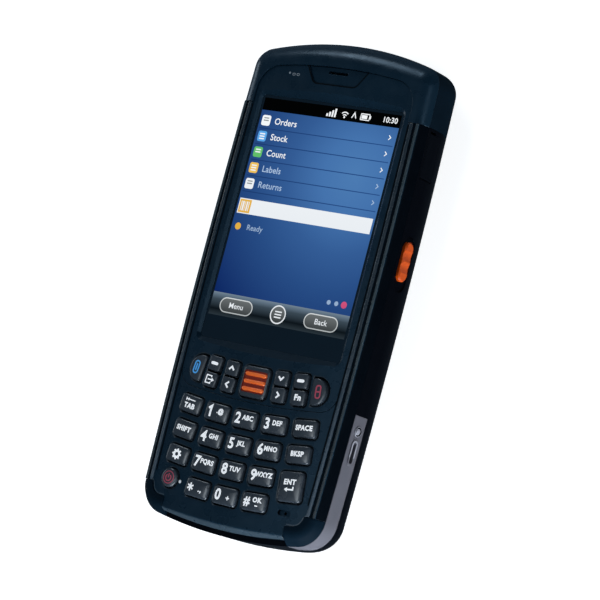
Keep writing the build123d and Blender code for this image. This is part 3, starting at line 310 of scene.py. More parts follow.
# painted shade: a darker navy on the bevel outside the ribs, which faces away from the light
SHOULDER_SHADE = moulded("shoulder_shade_navy", (0.0007, 0.0016, 0.0032), (0.0010, 0.0021, 0.0041), 0.40,
                   **DULL)
KEY = moulded("key_grey", (0.033, 0.042, 0.054), (0.038, 0.048, 0.062), 0.23, 0.35, 0.006, 0.0,
              Specular_IOR_Level=0.70)
BAND = moulded("band_silver", (0.088, 0.087, 0.106), (0.103, 0.101, 0.120), 0.42, 0.35, 0.01,
               Specular_IOR_Level=0.25)
RAIL = moulded("rail_silver", (0.24, 0.24, 0.28), (0.29, 0.29, 0.33), 0.28, 0.35, 0.01)
# rubber painted about as dark as the flank round it: partly its own tone, partly painted shade
FLAP = moulded("flap_rubber", (0.0013, 0.0018, 0.0034), (0.0017, 0.0023, 0.0043), 0.55, **DULL)
# painted shade in grooves and recesses: round the receiver, beside the ribs, in the strap slot and
# in the plug's sunk ring; the ring behind the camera window is black
BLACK_AND_SHADE = moulded("black_and_shade", (0.0010, 0.0016, 0.0024), (0.0014, 0.0022, 0.0032), 0.5,
                 edge=0.0, **DULL)
ORANGE = moulded("scan_orange", (0.54, 0.062, 0.002), (0.60, 0.074, 0.003), 0.36, 0.4, 0.006,
                 Specular_IOR_Level=0.20)
# the bars glow a little: painted light that makes them brighter
SCAN_BAR_PAINTED_GLOW = moulded("scan_bar", (0.90, 0.150, 0.018), (0.96, 0.175, 0.024), 0.26, 0.4, 0.006,
                   Emission_Color=(1.0, 0.19, 0.07, 1.0), Emission_Strength=0.12)
EMBER = moulded("scan_pad", (0.22, 0.016, 0.003), (0.27, 0.021, 0.004), 0.4)
COMPONENT = moulded("component_black", (0.012, 0.012, 0.014), (0.018, 0.018, 0.020), 0.5)
MODULE = moulded("module_white", (0.55, 0.56, 0.58), (0.62, 0.63, 0.65), 0.4)
MEMBRANE = moulded("membrane_grey", (0.30, 0.30, 0.31), (0.36, 0.36, 0.37), 0.6)
BATTERY = moulded("battery_black", (0.014, 0.014, 0.016), (0.020, 0.020, 0.022), 0.45)
BOARD = moulded("board_green", (0.008, 0.075, 0.035), (0.012, 0.100, 0.045), 0.35, 0.8)
STEEL = brushed("steel", (0.42, 0.42, 0.44), (0.60, 0.60, 0.62), 0.32, (1, 8, 8))
SCREW = brushed("screw_black", (0.05, 0.05, 0.055), (0.09, 0.09, 0.095), 0.35, (1, 1, 6))
GOLD = brushed("contact_gold", (0.70, 0.47, 0.15), (0.88, 0.62, 0.22), 0.25, (1, 1, 6))
LENS = glazed("lens", (0.0035, 0.0135, 0.0250), 0.12)
PANE = glazed("scan_pane", (0.012, 0.0015, 0.0025))

# the legends glow: painted light that makes them brighter than the lamps do
LEGEND = inked("legend_white", (0.92, 0.93, 0.95), glow=0.45)
CALL_BLUE = inked("legend_blue", (0.08, 0.42, 0.90), glow=0.20)
END_PINK = inked("legend_pink", (0.42, 0.055, 0.095), glow=0.20)
FAINT = inked("legend_faint", (0.32, 0.36, 0.40))
LAMP = inked("lamp_white", (0.70, 0.74, 0.78), 0.15, glow=0.25)

SKY_STOPS = ((0.0, (0.072, 0.200, 0.450)), (0.2, (0.058, 0.170, 0.415)),
             (0.42, (0.033, 0.106, 0.300)), (0.62, (0.020, 0.072, 0.232)),
             (1.0, (0.003, 0.018, 0.120)))
BAR_STOPS = ((0.0, (0.022, 0.033, 0.042)), (0.28, (0.003, 0.006, 0.009)),
             (0.7, (0.042, 0.064, 0.085)), (0.9, (0.115, 0.165, 0.220)),
             (1.0, (0.170, 0.225, 0.285)))
BUTTON_RUN = (0, -11.5), (0, -6.0)
PICTURE = lit("ui_sky", SKY_STOPS, (15, 38, 24), reach=60)
BAR_BLACK = lit_between("ui_black", (0.0001, 0.0002, 0.0002), (0.0003, 0.0004, 0.0004))
BAR_GREY = lit("ui_grey", BAR_STOPS, (0, -12.4), (0, -5.05))
TILE_LINE = lit_between("ui_tile_line", (0.20, 0.23, 0.24), (0.28, 0.31, 0.32))
UI_WHITE = lit_between("ui_white", (0.80, 0.84, 0.88), (0.92, 0.95, 0.97), (0, 15), (0, 55))
UI_SOFT = lit_between("ui_soft", (0.30, 0.42, 0.60), (0.42, 0.56, 0.76), (0, 15), (0, 40))
UI_LINE = lit_between("ui_line", (0.010, 0.040, 0.150), (0.020, 0.075, 0.235), (-26, 0), (26, 0))
UI_GREEN = lit_between("ui_green", (0.08, 0.42, 0.10), (0.16, 0.60, 0.18), (0, 30), (0, 50))
UI_AZURE = lit_between("ui_azure", (0.06, 0.30, 0.72), (0.12, 0.42, 0.85), (0, 30), (0, 55))
UI_GOLD = lit_between("ui_gold", (0.75, 0.42, 0.06), (0.90, 0.60, 0.14), (0, 20), (0, 45))
UI_PINK = lit_between("ui_pink", (0.55, 0.06, 0.16), (0.75, 0.12, 0.26), (0, -5), (0, 5))
UI_RING = lit_between("ui_ring", (0.42, 0.45, 0.46), (0.66, 0.69, 0.70), *BUTTON_RUN)
UI_PILL = lit_between("ui_pill", (0.030, 0.036, 0.038), (0.150, 0.165, 0.170), *BUTTON_RUN)

NODE_LOOKS = {                 # any other node is a key
    "front_housing": BODY, "rear_housing": REAR_NAVY_AND_SHADE, "scanner_cap": BUMPER, "battery_cover": REAR_NAVY_AND_SHADE,
    "top_bumper": BODY, "bottom_left_bumper": BUMPER, "bottom_right_bumper": BUMPER,
    "battery_latch": BUMPER, "screen_bezel": BEZEL, "touch_panel": LENS, "lcd_module": MODULE,
    "lcd_bracket": STEEL, "scan_window": PANE, "camera_window": PANE, "scan_engine": COMPONENT,
    "side_band": BAND, "side_switches": COMPONENT, "port_socket": STEEL,
    "keypad_membrane": MEMBRANE, "keypad_board": BOARD, "main_board": BOARD,
    "battery_pack": BATTERY, "camera_module": COMPONENT, "loudspeaker": COMPONENT,
    "earpiece": COMPONENT, "dock_connector": COMPONENT, "housing_screws": SCREW,
    "port_cover": FLAP, "right_scan_button": ORANGE, "left_scan_button": ORANGE,
}


# ---- form of the body and looks of the CAD nodes ------------------------------------------------
HALF_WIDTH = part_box("rear_housing")[1].x / MM
FLANK_RADIUS = 2450.0
BELLY_Y = 5.0                  # where the flanks are furthest apart
CROWN_RADIUS, CROWN_TOP = 320.0, 26.2

KEYPAD_TOP_Y = -24.0
KEYPAD_INSET = 5.5             # insets are measured in from the flank
RIB_GAP = (3.05, 3.95)
RIB_FILLET = 0.25              # height where the rounded tops of the ribs start
RIB_END_Y = 68.0
SHOULDER_WIDTH = 1.98          # of the bevel outside the ribs
FLARE_TOP_Y = -12.5            # below it the window's flare is dull and gets painted shade

# how far a face is level: the size of the Z part of its normal
RIM_LEVEL = (0.5, 0.9)
WALL_LEVEL = 0.3
FLARE_LEVEL = 0.97
SHOULDER_TILT = 0.4            # the X part of the normal

FRONT_LOOKS = [INNER_RIB_HIGHLIGHT, OUTER_RIB_HIGHLIGHT, RIM_HIGHLIGHT, GAP_SHADE, SHOULDER_SHADE, FLARE_SHADE]


def crown_height(x):
    """Height of the front face at x."""
    return CROWN_TOP - CROWN_RADIUS + sqrt(CROWN_RADIUS ** 2 - x ** 2)


def flank_x(y):
    """Half width of the body at y."""
    return HALF_WIDTH - FLANK_RADIUS + sqrt(FLANK_RADIUS ** 2 - (y - BELLY_Y) ** 2)


def dress(node, material):
    """Give a CAD node its material."""
    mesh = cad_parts[node].data
    mesh.materials.clear()
    mesh.materials.append(material)


def front_look(node, face):
    """Look of a face of the front, or None where it keeps the node's own: ribs and socket rims get
    painted highlights; the gap between the ribs, the bevel outside them and the socket walls get
    painted shade, and so does the low part of the window's flare."""
    x, y, z = (c / MM for c in face.center)
    inset = flank_x(y) - abs(x)
    level = abs(face.normal.z)
    on_keypad = inset > KEYPAD_INSET and y < KEYPAD_TOP_Y
    if z > crown_height(x) + RIB_FILLET:
        return INNER_RIB_HIGHLIGHT if inset > RIB_GAP[1] else OUTER_RIB_HIGHLIGHT
    if on_keypad and RIM_LEVEL[0] < level < RIM_LEVEL[1]:
        return RIM_HIGHLIGHT
    if RIB_GAP[0] < inset < RIB_GAP[1] and abs(y) < RIB_END_Y:
        return GAP_SHADE
    if on_keypad and level < WALL_LEVEL:
        return GAP_SHADE
    if inset < SHOULDER_WIDTH and abs(face.normal.x) > SHOULDER_TILT:
        return SHOULDER_SHADE
    if node == "screen_bezel" and KEYPAD_TOP_Y < y < FLARE_TOP_Y and level < FLARE_LEVEL:
        return FLARE_SHADE
    return None


def dress_front():
    """Give the faces of the front housing and of the bezel their looks, after the node's own."""
    for node in ("front_housing", "screen_bezel"):
        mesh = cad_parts[node].data
        for look in FRONT_LOOKS:
            mesh.materials.append(look)
        for face in mesh.polygons:
            look = front_look(node, face)
            if look is not None:
                face.material_index = 1 + FRONT_LOOKS.index(look)


# ---- outlines and meshes ------------------------------------------------------------------------
SHARPEST_BEND = 0.05           # radius left at a corner that is inset past its own
CUT_ROUNDS = 6
CHEVRON_DEPTH = 0.55           # half of its length, as a share of its half width
CREASE, HARD_CREASE, SOFT_CREASE = 38, 50, 60      # degrees
QUARTER = [radians(90 * step / 5) for step in range(6)]


def rounded(width, height, radii, inset=0.0, steps=6):
    """Outline of a rounded rectangle; radii is one for all corners, or those of the north-east,
    north-west, south-west and south-east."""
    if not isinstance(radii, tuple):
        radii = (radii,) * 4
    outline = []
    half_width, half_height = width / 2 - inset, height / 2 - inset
    corners = ((1, 1, 0), (-1, 1, 90), (-1, -1, 180), (1, -1, 270))
    for (x_side, y_side, start), radius in zip(corners, radii):
        bend = max(radius - inset, SHARPEST_BEND)
        for step in range(steps + 1):
            angle = radians(start + 90 * step / steps)
            outline.append((x_side * (half_width - bend) + bend * cos(angle),
                            y_side * (half_height - bend) + bend * sin(angle)))
    return outline


def circle(u, v, radius, steps=24, start=0.0, sweep=360.0):
    """Points round a centre; a full circle leaves the last one out."""
    count = steps if sweep >= 360 else steps + 1
    turns = [radians(start + sweep * k / steps) for k in range(count)]
    return [(u + radius * cos(a), v + radius * sin(a)) for a in turns]


def box(left, low, right, high):
    return [(right, high), (left, high), (left, low), (right, low)]


def chevron(u, v, towards, reach=0.95):
    """Path of an arrowhead that points along an angle in degrees."""
    turn, depth = radians(towards), CHEVRON_DEPTH * reach
    arms = ((-depth, reach), (depth, 0.0), (-depth, -reach))
    return [(u + x * cos(turn) - y * sin(turn), v + x * sin(turn) + y * cos(turn)) for x, y in arms]


def bent(start, corner, end, radius, steps=8):
    """Points of a corner rounded with a quadratic curve."""
    a, b, c = Vector(start), Vector(corner), Vector(end)
    first, last = b + radius * (a - b).normalized(), b + radius * (c - b).normalized()
    turns = [k / steps for k in range(steps + 1)]
    return [tuple((1 - t) ** 2 * first + 2 * t * (1 - t) * b + t ** 2 * last) for t in turns]


def moved(outline, u, v):
    return [(x + u, y + v) for x, y in outline]


def add_mesh(name, points, faces, looks, body, face_looks=None, crease=CREASE):
    """Mesh that rides on a CAD body."""
    mesh = bpy.data.meshes.new(name)
    mesh.from_pydata([tuple(MM * c for c in point) for point in points], [], faces)
    for look in looks:
        mesh.materials.append(look)
    if face_looks:
        mesh.polygons.foreach_set("material_index", face_looks)
    if crease:
        mesh.shade_smooth()
        mesh.set_sharp_from_angle(angle=radians(crease))
    piece = bpy.data.objects.new(name, mesh)
    bpy.context.collection.objects.link(piece)
    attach(piece, body)
    return piece


def cut_fine(flat, faces, reach):
    """Flat faces cut up until no edge is longer than reach."""
    form = bmesh.new()
    corners = [form.verts.new((u, v, 0.0)) for u, v in flat]
    for face in faces:
        form.faces.new([corners[k] for k in face])
    for _ in range(CUT_ROUNDS):
        bmesh.ops.triangulate(form, faces=form.faces)
        long_edges = [e for e in form.edges if e.calc_length() > reach]
        if not long_edges:
            break
        bmesh.ops.subdivide_edges(form, edges=long_edges, cuts=1)
    form.verts.index_update()
    points = [(p.co.x, p.co.y) for p in form.verts]
    triangles = [tuple(p.index for p in face.verts) for face in form.faces]
    form.free()
    return points, triangles


def stack(rings):
    """Points and faces of a solid through rings of equally many points; the last ring is closed
    towards its centre."""
    count = len(rings[0])
    points = [point for ring in rings for point in ring]
    faces = [tuple(reversed(range(count)))]
    for level in range(len(rings) - 1):
        low = level * count
        for k in range(count):
            n = (k + 1) % count
            faces.append((low + k, low + n, low + count + n, low + count + k))
    last = len(points) - count
    points.append(tuple(sum(c) / count for c in zip(*rings[-1])))
    faces += [(last + k, last + (k + 1) % count, len(points) - 1) for k in range(count)]
    return points, faces


# ---- print --------------------------------------------------------------------------------------
INK_LIFT = INK_THICKNESS = 0.03
MITRE_LIMIT = 0.4              # a line's corner is at most 1 / 0.4 times as wide as the line


class Print:
    """Thin shapes printed on a surface; u and v lie in the surface's own plan."""

    def __init__(self, surface, reach=None):
        self.surface = surface
        self.reach = reach         # longest edge, for a surface that curves
        self.points, self.faces, self.inks, self.looks = [], [], [], []

    def pen(self, ink, lift=INK_LIFT):
        """Choose the ink and the height of the shapes that follow."""
        self.ink, self.lift = ink, lift
        return self

    def put(self, flat, faces):
        if self.ink not in self.looks:
            self.looks.append(self.ink)
        if self.reach:
            flat, faces = cut_fine(flat, faces, self.reach)
        first = len(self.points)
        self.points += [self.surface(u, v, self.lift) for u, v in flat]
        self.faces += [tuple(first + k for k in face) for face in faces]
        self.inks += [self.looks.index(self.ink)] * len(faces)

    def patch(self, outline):
        self.put(outline, [tuple(range(len(outline)))])

    def between(self, outer, inner):
        """What lies between two outlines of equally many points."""
        n = len(outer)
        ring = [(k, (k + 1) % n, n + (k + 1) % n, n + k) for k in range(n)]
        self.put(outer + inner, ring)

    def ring(self, u, v, outer, inner):
        self.between(circle(u, v, outer), circle(u, v, inner))

    def rim(self, u, v, width, height, radius, thickness):
        """The edge of a rounded rectangle."""
        self.between(*(moved(rounded(width, height, radius, inset), u, v)
                       for inset in (0.0, thickness)))

    def line(self, path, width):
        """A line of constant width along a path."""
        left, right = [], []
        for k, here in enumerate(path):
            before, after = path[max(k - 1, 0)], path[min(k + 1, len(path) - 1)]
            runs = [Vector(b) - Vector(a) for a, b in ((before, here), (here, after)) if a != b]
            runs = [run.normalized() for run in runs]
            along = sum(runs, Vector((0, 0))).normalized()
            reach = width / 2 / max(along.dot(runs[0]), MITRE_LIMIT)
            left.append((here[0] - reach * along.y, here[1] + reach * along.x))
            right.append((here[0] + reach * along.y, here[1] - reach * along.x))
        n = len(path)
        self.put(right + left, [(k, k + 1, n + k + 1, n + k) for k in range(n - 1)])

    def words(self, text, u, v, size, weight=0.0, squeeze=1.0, align="CENTER"):
        curve = bpy.data.curves.new("words", "FONT")
        curve.body = text
        curve.size = size
        curve.offset = weight
        curve.space_character = 1.0 + weight
        curve.align_x = align
        curve.align_y = "CENTER"
        curve.resolution_u = 3
        holder = bpy.data.objects.new("words", curve)
        flat = bpy.data.meshes.new_from_object(holder)
        points = [(u + squeeze * p.co.x, v + p.co.y) for p in flat.vertices]
        self.put(points, [tuple(f.vertices) for f in flat.polygons])
        bpy.data.objects.remove(holder)
        bpy.data.curves.remove(curve)
        bpy.data.meshes.remove(flat)

    def finish(self, name, body, thickness=INK_THICKNESS):
        piece = add_mesh(name, self.points, self.faces, self.looks, body, self.inks, crease=0)
        sheet = piece.modifiers.new("sheet", "SOLIDIFY")
        sheet.thickness = thickness * MM
        sheet.offset = -1.0
        return piece


# ---- keys ---------------------------------------------------------------------------------------
ROW_RADIUS = 210.0             # the rows of keys are arcs
FLANGE_LIP, FLANGE_THICKNESS = 0.6, 0.7
KEY_DRAFT = 0.12               # the walls lean in by this much
SAG_UPWARDS = 0.6              # sag up and down the keypad, as a share of the sag across
TOP_SCALES = (0.8, 0.6, 0.4, 0.2)
KEY_PLANS = {                  # width, height, corner radii, rounding of the top edge, sag
    "wide": (9.2, 5.8, 1.1, 0.45, 0.42),
    "outer": (8.6, 5.8, 1.1, 0.45, 0.40),
    "tall": (8.6, 9.6, 1.1, 0.45, 0.40),
    "small": (5.2, 4.85, 0.9, 0.3, 0.14),
    "call": (5.5, 8.6, (0.8, 4.0, 4.0, 0.8), 0.35, 0.18),
    "end": (5.5, 8.6, (4.0, 0.8, 0.8, 4.0), 0.35, 0.18),
    "scan": (10.4, 10.0, 1.7, 0.5, 0.25),
    "round": (6.2, 6.2, 3.1, 0.5, 0.30),
}
KEY_KINDS = {                  # any other key is wide
    "tab": "outer", "space": "outer", "shift": "outer", "backspace": "outer", "settings": "outer",
    "enter": "tall", "power": "round", "call": "call", "end": "end", "scan": "scan",
    "soft_left": "small", "exit": "small", "up": "small", "left": "small", "down": "small",
    "right": "small", "soft_right": "small", "fn": "small",
}


class KeyPlace:
    """Where a key stands, and the shape of its top."""

    def __init__(self, name):
        low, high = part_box("key_" + name)
        low, high = low / MM, high / MM
        kind = KEY_KINDS.get(name, "wide")
        self.width, self.height, self.radii, self.edge, self.fall = KEY_PLANS[kind]
        self.x, self.y = (low.x + high.x) / 2, (low.y + high.y) / 2
        self.low, self.top = low.z, high.z
        angle = asin(self.x / ROW_RADIUS) if kind != "round" else 0.0
        self.cos, self.sin = cos(angle), sin(angle)

    def sag(self, u, v):
        across, upwards = 2 * u / self.width, 2 * v / self.height
        return self.fall * (across ** 2 + SAG_UPWARDS * upwards ** 2)

    def at(self, u, v, z):
        return (self.x + u * self.cos - v * self.sin, self.y + u * self.sin + v * self.cos, z)

    def on_top(self, u, v, lift):
        return self.at(u, v, self.top - self.sag(u, v) + lift)

    def ring(self, inset, z=None, drop=0.0, scale=1.0):
        """Ring of points at a height, or at a drop below the domed top."""
        outline = rounded(self.width, self.height, self.radii, inset)
        outline = [(scale * u, scale * v) for u, v in outline]
        if z is not None:
            return [self.at(u, v, z) for u, v in outline]
        return [self.on_top(u, v, -drop) for u, v in outline]

    def walls(self):
        """Rings from the flange up to the rounded edge of the top."""
        flange_top = self.low + FLANGE_THICKNESS
        rings = [self.ring(-FLANGE_LIP, self.low), self.ring(-FLANGE_LIP, flange_top),
                 self.ring(0.0, flange_top)]
        return rings + [self.ring(KEY_DRAFT + self.edge * (1 - cos(angle)),
                                  drop=self.edge * (1 - sin(angle))) for angle in QUARTER]


def add_key(name):
    """Key with a domed top and soft edges, in place of the plain CAD key."""
    key = KeyPlace(name)
    rings = key.walls()
    inset = KEY_DRAFT + key.edge
    rings += [key.ring(inset, scale=scale) for scale in TOP_SCALES]
    points, faces = stack(rings)
    # the flange under the key gets painted shade
    flange = 1 + 2 * len(rings[0])
    looks = [1] * flange + [0] * (len(faces) - flange)
    piece = add_mesh("cap_" + name, points, faces, [KEY, GAP_SHADE], "key_" + name, looks, HARD_CREASE)
    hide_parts("key_" + name)
    return key


PAD_SIZE, PAD_DEPTH, PAD_DRAFT = (8.9, 6.9, 0.7), 0.5, 0.1     # size: width, height, corner
BAR_WIDTH, BAR_HEIGHT, BAR_PITCH = 8.3, 1.3, 2.35
BAR_RISE, BAR_ROOT, BAR_EDGE, BAR_STEPS = 0.75, 0.1, 0.45, 4


def add_scan_key():
    """Central key: a dark frame round a sunk red pad that carries three orange bars."""
    key = KeyPlace("scan")
    rings = key.walls()
    frame_levels = len(rings)
    for inset, lift in ((0.0, 0.0), (PAD_DRAFT, -PAD_DEPTH)):
        rings.append([key.on_top(u, v, lift) for u, v in rounded(*PAD_SIZE, inset)])
    points, faces = stack(rings)
    framing = 1 + frame_levels * len(rings[0])
    looks = [0] * framing + [1] * (len(faces) - framing)
    piece = add_mesh("cap_scan", points, faces, [KEY, EMBER], "key_scan", looks, HARD_CREASE)
    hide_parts("key_scan")
    for index in (-1, 0, 1):
        rings = []
        for step, angle in enumerate(QUARTER):
            bar = rounded(BAR_WIDTH, BAR_HEIGHT, BAR_HEIGHT / 2, BAR_EDGE * (1 - cos(angle)),
                          BAR_STEPS)
            rise = BAR_RISE * sin(angle) if step else -BAR_ROOT
            rings.append([key.on_top(u, v + index * BAR_PITCH, rise - PAD_DEPTH) for u, v in bar])
        points, faces = stack(rings)
        add_mesh(f"scan_bar_{index + 2}", points, faces, [SCAN_BAR_PAINTED_GLOW], "key_scan", crease=SOFT_CREASE)


# ---- legends ------------------------------------------------------------------------------------
DIGIT_SIZE, DIGIT_WEIGHT, DIGIT_X = 4.7, 0.14, -2.3
LETTER_SIZE, LETTER_WEIGHT, LETTER_SQUEEZE = 2.1, 0.085, 0.92
WORD_SIZE, WORD_WEIGHT, WORD_SQUEEZE = 2.15, 0.10, 0.95
ARROW_WIDTH = 0.55
CALL_RIM = (0, 0, 2.1, 4.3, 0.95, 0.45)      # place, width, height, corner, thickness
SOFT_DASH = ("patch", rounded(2.7, 0.95, 0.45))
LEGEND_REACH = 0.7             # longest edge on a domed key
LEGEND_INKS = {"power": END_PINK, "end": END_PINK, "call": CALL_BLUE}
DIGIT_LETTERS = {
    "2": "ABC", "3": "DEF", "4": "GHI", "5": "JKL", "6": "MNO", "7": "PQRS", "8": "TUV",
    "9": "WXYZ",
}


def digit(text):
    return ("words", text, DIGIT_X, 0.0, DIGIT_SIZE, DIGIT_WEIGHT)


def letters(text):
    return ("words", text, 1.5, 0.5, LETTER_SIZE, LETTER_WEIGHT, LETTER_SQUEEZE)


def word(text):
    return ("words", text, 0.0, 0.1, WORD_SIZE, WORD_WEIGHT, WORD_SQUEEZE)


LEGENDS = {                    # each stroke: a method of Print and what it is called with
    "1": [("line", [(-3.2, 0.75), (-2.15, 1.6), (-2.15, -1.75)], 0.75), letters(".@")],
    "0": [digit("0"), ("words", "+", 1.7, -0.6, LETTER_SIZE + 0.4, 0.06)],
    "star": [*(("line", circle(DIGIT_X, 0.0, 1.3, 1, turn, 180), 0.5) for turn in (30, 90, 150)),
             ("words", ".,", 1.6, 0.0, LETTER_SIZE + 0.8, 0.06)],
    "hash": [("words", "#", DIGIT_X, 0.0, DIGIT_SIZE - 0.7, 0.12),
             ("words", "OK", 1.5, 0.65, LETTER_SIZE, WORD_WEIGHT),
             ("line", [(1.0, -1.1), (2.0, -1.1)], 0.35)],
    "space": [word("SPACE")],
    "shift": [word("SHIFT")],
    "backspace": [word("BKSP")],
    "tab": [("words", "TAB", 0.0, -0.75, WORD_SIZE, WORD_WEIGHT),
            ("line", [(-1.9, 0.75), (-1.9, 1.75)], 0.35),
            ("line", [(-1.7, 1.25), (1.7, 1.25)], 0.3),
            ("patch", [(-1.7, 1.25), (-0.8, 0.75), (-0.8, 1.75)])],
    "enter": [("words", "ENT", 0.0, 1.3, WORD_SIZE + 0.1, WORD_WEIGHT),
              ("line", [(1.5, 0.0), (1.5, -0.95), (-0.9, -0.95)], 0.45),
              ("patch", [(-1.75, -0.95), (-0.6, -1.65), (-0.6, -0.25)])],
    "settings": [("ring", 0, 0, 1.35, 0.62),
                 *(("line", [circle(0, 0, radius, 1, 45 * tooth, 1)[0] for radius in (1.0, 1.75)],
                    0.55) for tooth in range(8))],
    "power": [("ring", 0, 0, 2.05, 1.8), ("line", circle(0, -0.1, 1.0, 20, 125, 290), 0.36),
              ("line", [(0, -0.1), (0, 1.25)], 0.36)],
    "exit": [("line", [(0.5, 0.75), (0.5, 1.2), (-1.4, 1.2), (-1.4, -1.2), (0.5, -1.2),
                       (0.5, -0.75)], 0.38),
             ("line", [(-0.7, 0.0), (0.9, 0.0)], 0.4),
             ("patch", [(1.75, 0.0), (0.75, 0.7), (0.75, -0.7)])],
    "right": [("line", chevron(0, 0, 0), ARROW_WIDTH)],
    "up": [("line", chevron(0, 0, 90), ARROW_WIDTH)],
    "left": [("line", chevron(0, 0, 180), ARROW_WIDTH)],
    "down": [("line", chevron(0, 0, 270), ARROW_WIDTH)],
    "soft_left": [SOFT_DASH],
    "soft_right": [SOFT_DASH],
    "fn": [("words", "Fn", 0.0, 0.0, 2.5, 0.12)],
    "call": [("rim", *CALL_RIM), ("patch", rounded(0.5, 2.3, 0.2))],
    "end": [("rim", *CALL_RIM), ("line", [(-0.8, 0.0), (0.8, 0.0)], 0.45)],
    **{name: [digit(name), letters(text)] for name, text in DIGIT_LETTERS.items()},
}


def add_keys():
    add_scan_key()
    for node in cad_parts:
        name = node.removeprefix("key_")
        if node.startswith("key_") and name != "scan":
            key = add_key(name)
            mark = Print(key.on_top, LEGEND_REACH).pen(LEGEND_INKS.get(name, LEGEND))
            for method, *values in LEGENDS[name]:
                getattr(mark, method)(*values)
            mark.finish("legend_" + name, node)


# ---- small parts of the front and the right flank -----------------------------------------------
SURFACE_REACH = 1.5            # longest edge on the crowned face and on the flank
THIN_PRINT = 0.02
RECEIVER_LOW_Y, RECEIVER_TOP_Y = 64.85, 70.55
RECEIVER_LOW_HALF, RECEIVER_TOP_HALF = 8.2, 12.0
RECEIVER_BEND, RECEIVER_GROOVE, GROOVE_LIFT = 1.6, 0.42, 0.02
DOT_PLACE, DOT_RADIUS = (-18.4, 67.2), 0.38
SENSOR_PLACES, SENSOR_SIZE = ((-16.6, 66.9), (-14.9, 66.9)), (1.2, 0.8, 0.35, 0.18)
RIB_FOOT, FOOT_WIDTH = 5.68, 0.52      # shadow line inside the inner rib, from the flank
FOOT_YS = range(-64, 57, 6)
BEZEL_SEAM_X = 30.85
# thin bead along the seam above each bottom bumper, printed in the rib's painted highlight
HIGHLIGHT_BEAD_CENTRE, HIGHLIGHT_BEAD_RADIUS, HIGHLIGHT_BEAD_WIDTH, HIGHLIGHT_BEAD_LIFT = (25.9, -67.35), 3.55, 0.4, 0.04
HIGHLIGHT_BEAD_ARC = (8, -12, -78)       # steps, start and sweep in degrees
HIGHLIGHT_BEAD_START, HIGHLIGHT_BEAD_END = (30.3, -66.9), (24.1, -70.95)
LAMP_X, LAMP_Y = -19.1, -65.9
LAMP_PROFILE = ((0.5, -0.8), (0.5, 0.0), (0.42, 0.12), (0.22, 0.2))     # radius, height

BAND_MID_Z = 18.15
STRAP_Y, STRAP_LENGTH, STRAP_HEIGHT, STRAP_CORNER = -45.2, 6.7, 1.6, 0.8
RAIL_WIDTH, RAIL_CORNER, RAIL_LIFT, SLOT_FLOOR = 0.6, 1.4, 0.33, -0.9
PLUG_Y = -38.6
PLUG_PROFILE = (               # radius, height, look
    (1.6, 0.0, 0), (1.6, 0.26, 0), (1.42, 0.34, 0), (1.26, 0.30, 1), (1.22, 0.08, 1),
    (1.0, 0.08, 1), (0.96, 0.26, 0), (0.8, 0.32, 0),
)


def on_face(u, v, lift):
    return (u, v, crown_height(u) + lift)


def on_flank(u, v, lift):
    """u runs towards the scanning end and v up, on the right flank."""
    return (flank_x(u) + lift, u, BAND_MID_Z + v)


def add_front_details():
    """Painted shade in the groove round the receiver, three small marks beside it, painted shadow
    lines beside the ribs, thin beads with a painted highlight along the bottom bumpers, and the lamp
    beside the power key."""
    marks = Print(on_face, SURFACE_REACH)
    top_left, top_right = (-RECEIVER_TOP_HALF, RECEIVER_TOP_Y), (RECEIVER_TOP_HALF, RECEIVER_TOP_Y)
    low_left, low_right = (-RECEIVER_LOW_HALF, RECEIVER_LOW_Y), (RECEIVER_LOW_HALF, RECEIVER_LOW_Y)
    path = [top_left, *bent(top_left, low_left, low_right, RECEIVER_BEND),
            *bent(low_left, low_right, top_right, RECEIVER_BEND), top_right]
    # painted shade along the receiver's groove
    marks.pen(BLACK_AND_SHADE, GROOVE_LIFT).line(path, RECEIVER_GROOVE)
    marks.pen(FAINT).patch(circle(*DOT_PLACE, DOT_RADIUS, 12))
    for place in SENSOR_PLACES:
        marks.rim(*place, *SENSOR_SIZE)
    for side in (-1, 1):
        foot = [(side * min(BEZEL_SEAM_X, flank_x(y) - RIB_FOOT), y) for y in FOOT_YS]
        marks.pen(BLACK_AND_SHADE).line(foot, FOOT_WIDTH)
        highlight_bead = [HIGHLIGHT_BEAD_START, *circle(*HIGHLIGHT_BEAD_CENTRE, HIGHLIGHT_BEAD_RADIUS, *HIGHLIGHT_BEAD_ARC), HIGHLIGHT_BEAD_END]
        marks.pen(INNER_RIB_HIGHLIGHT, HIGHLIGHT_BEAD_LIFT).line([(side * x, y) for x, y in highlight_bead], HIGHLIGHT_BEAD_WIDTH)
    marks.finish("front_marks", "housing", THIN_PRINT)
    top = crown_height(LAMP_X)
    rings = [[(x, y, top + z) for x, y in circle(LAMP_X, LAMP_Y, radius)]
             for radius, z in LAMP_PROFILE]
    add_mesh("lamp_lens", *stack(rings), [LAMP], "housing", crease=SOFT_CREASE)


def add_flank_details():
    """Plug above the strap slot with painted shade in its sunk ring, bright rails, and painted shade
    on the bottom of the slot.
    """
    trim = Print(on_flank, SURFACE_REACH)
    rail = rounded(STRAP_LENGTH + 2 * RAIL_WIDTH, STRAP_HEIGHT + 2 * RAIL_WIDTH, RAIL_CORNER)
    slot = moved(rounded(STRAP_LENGTH, STRAP_HEIGHT, STRAP_CORNER), STRAP_Y, 0.0)
    trim.pen(RAIL, RAIL_LIFT).between(moved(rail, STRAP_Y, 0.0), slot)
    trim.pen(BLACK_AND_SHADE, SLOT_FLOOR).patch(slot)
    trim.finish("strap_rails", "housing")
    rings = [[on_flank(PLUG_Y + x, y, lift) for x, y in circle(0, 0, radius)]
             for radius, lift, _ in PLUG_PROFILE]
    levels = [ink for _, _, ink in PLUG_PROFILE[1:]] + [0]
    inks = [0] + [ink for ink in levels for _ in rings[0]]
    add_mesh("strap_plug", *stack(rings), [RAIL, BLACK_AND_SHADE], "housing", inks, HARD_CREASE)


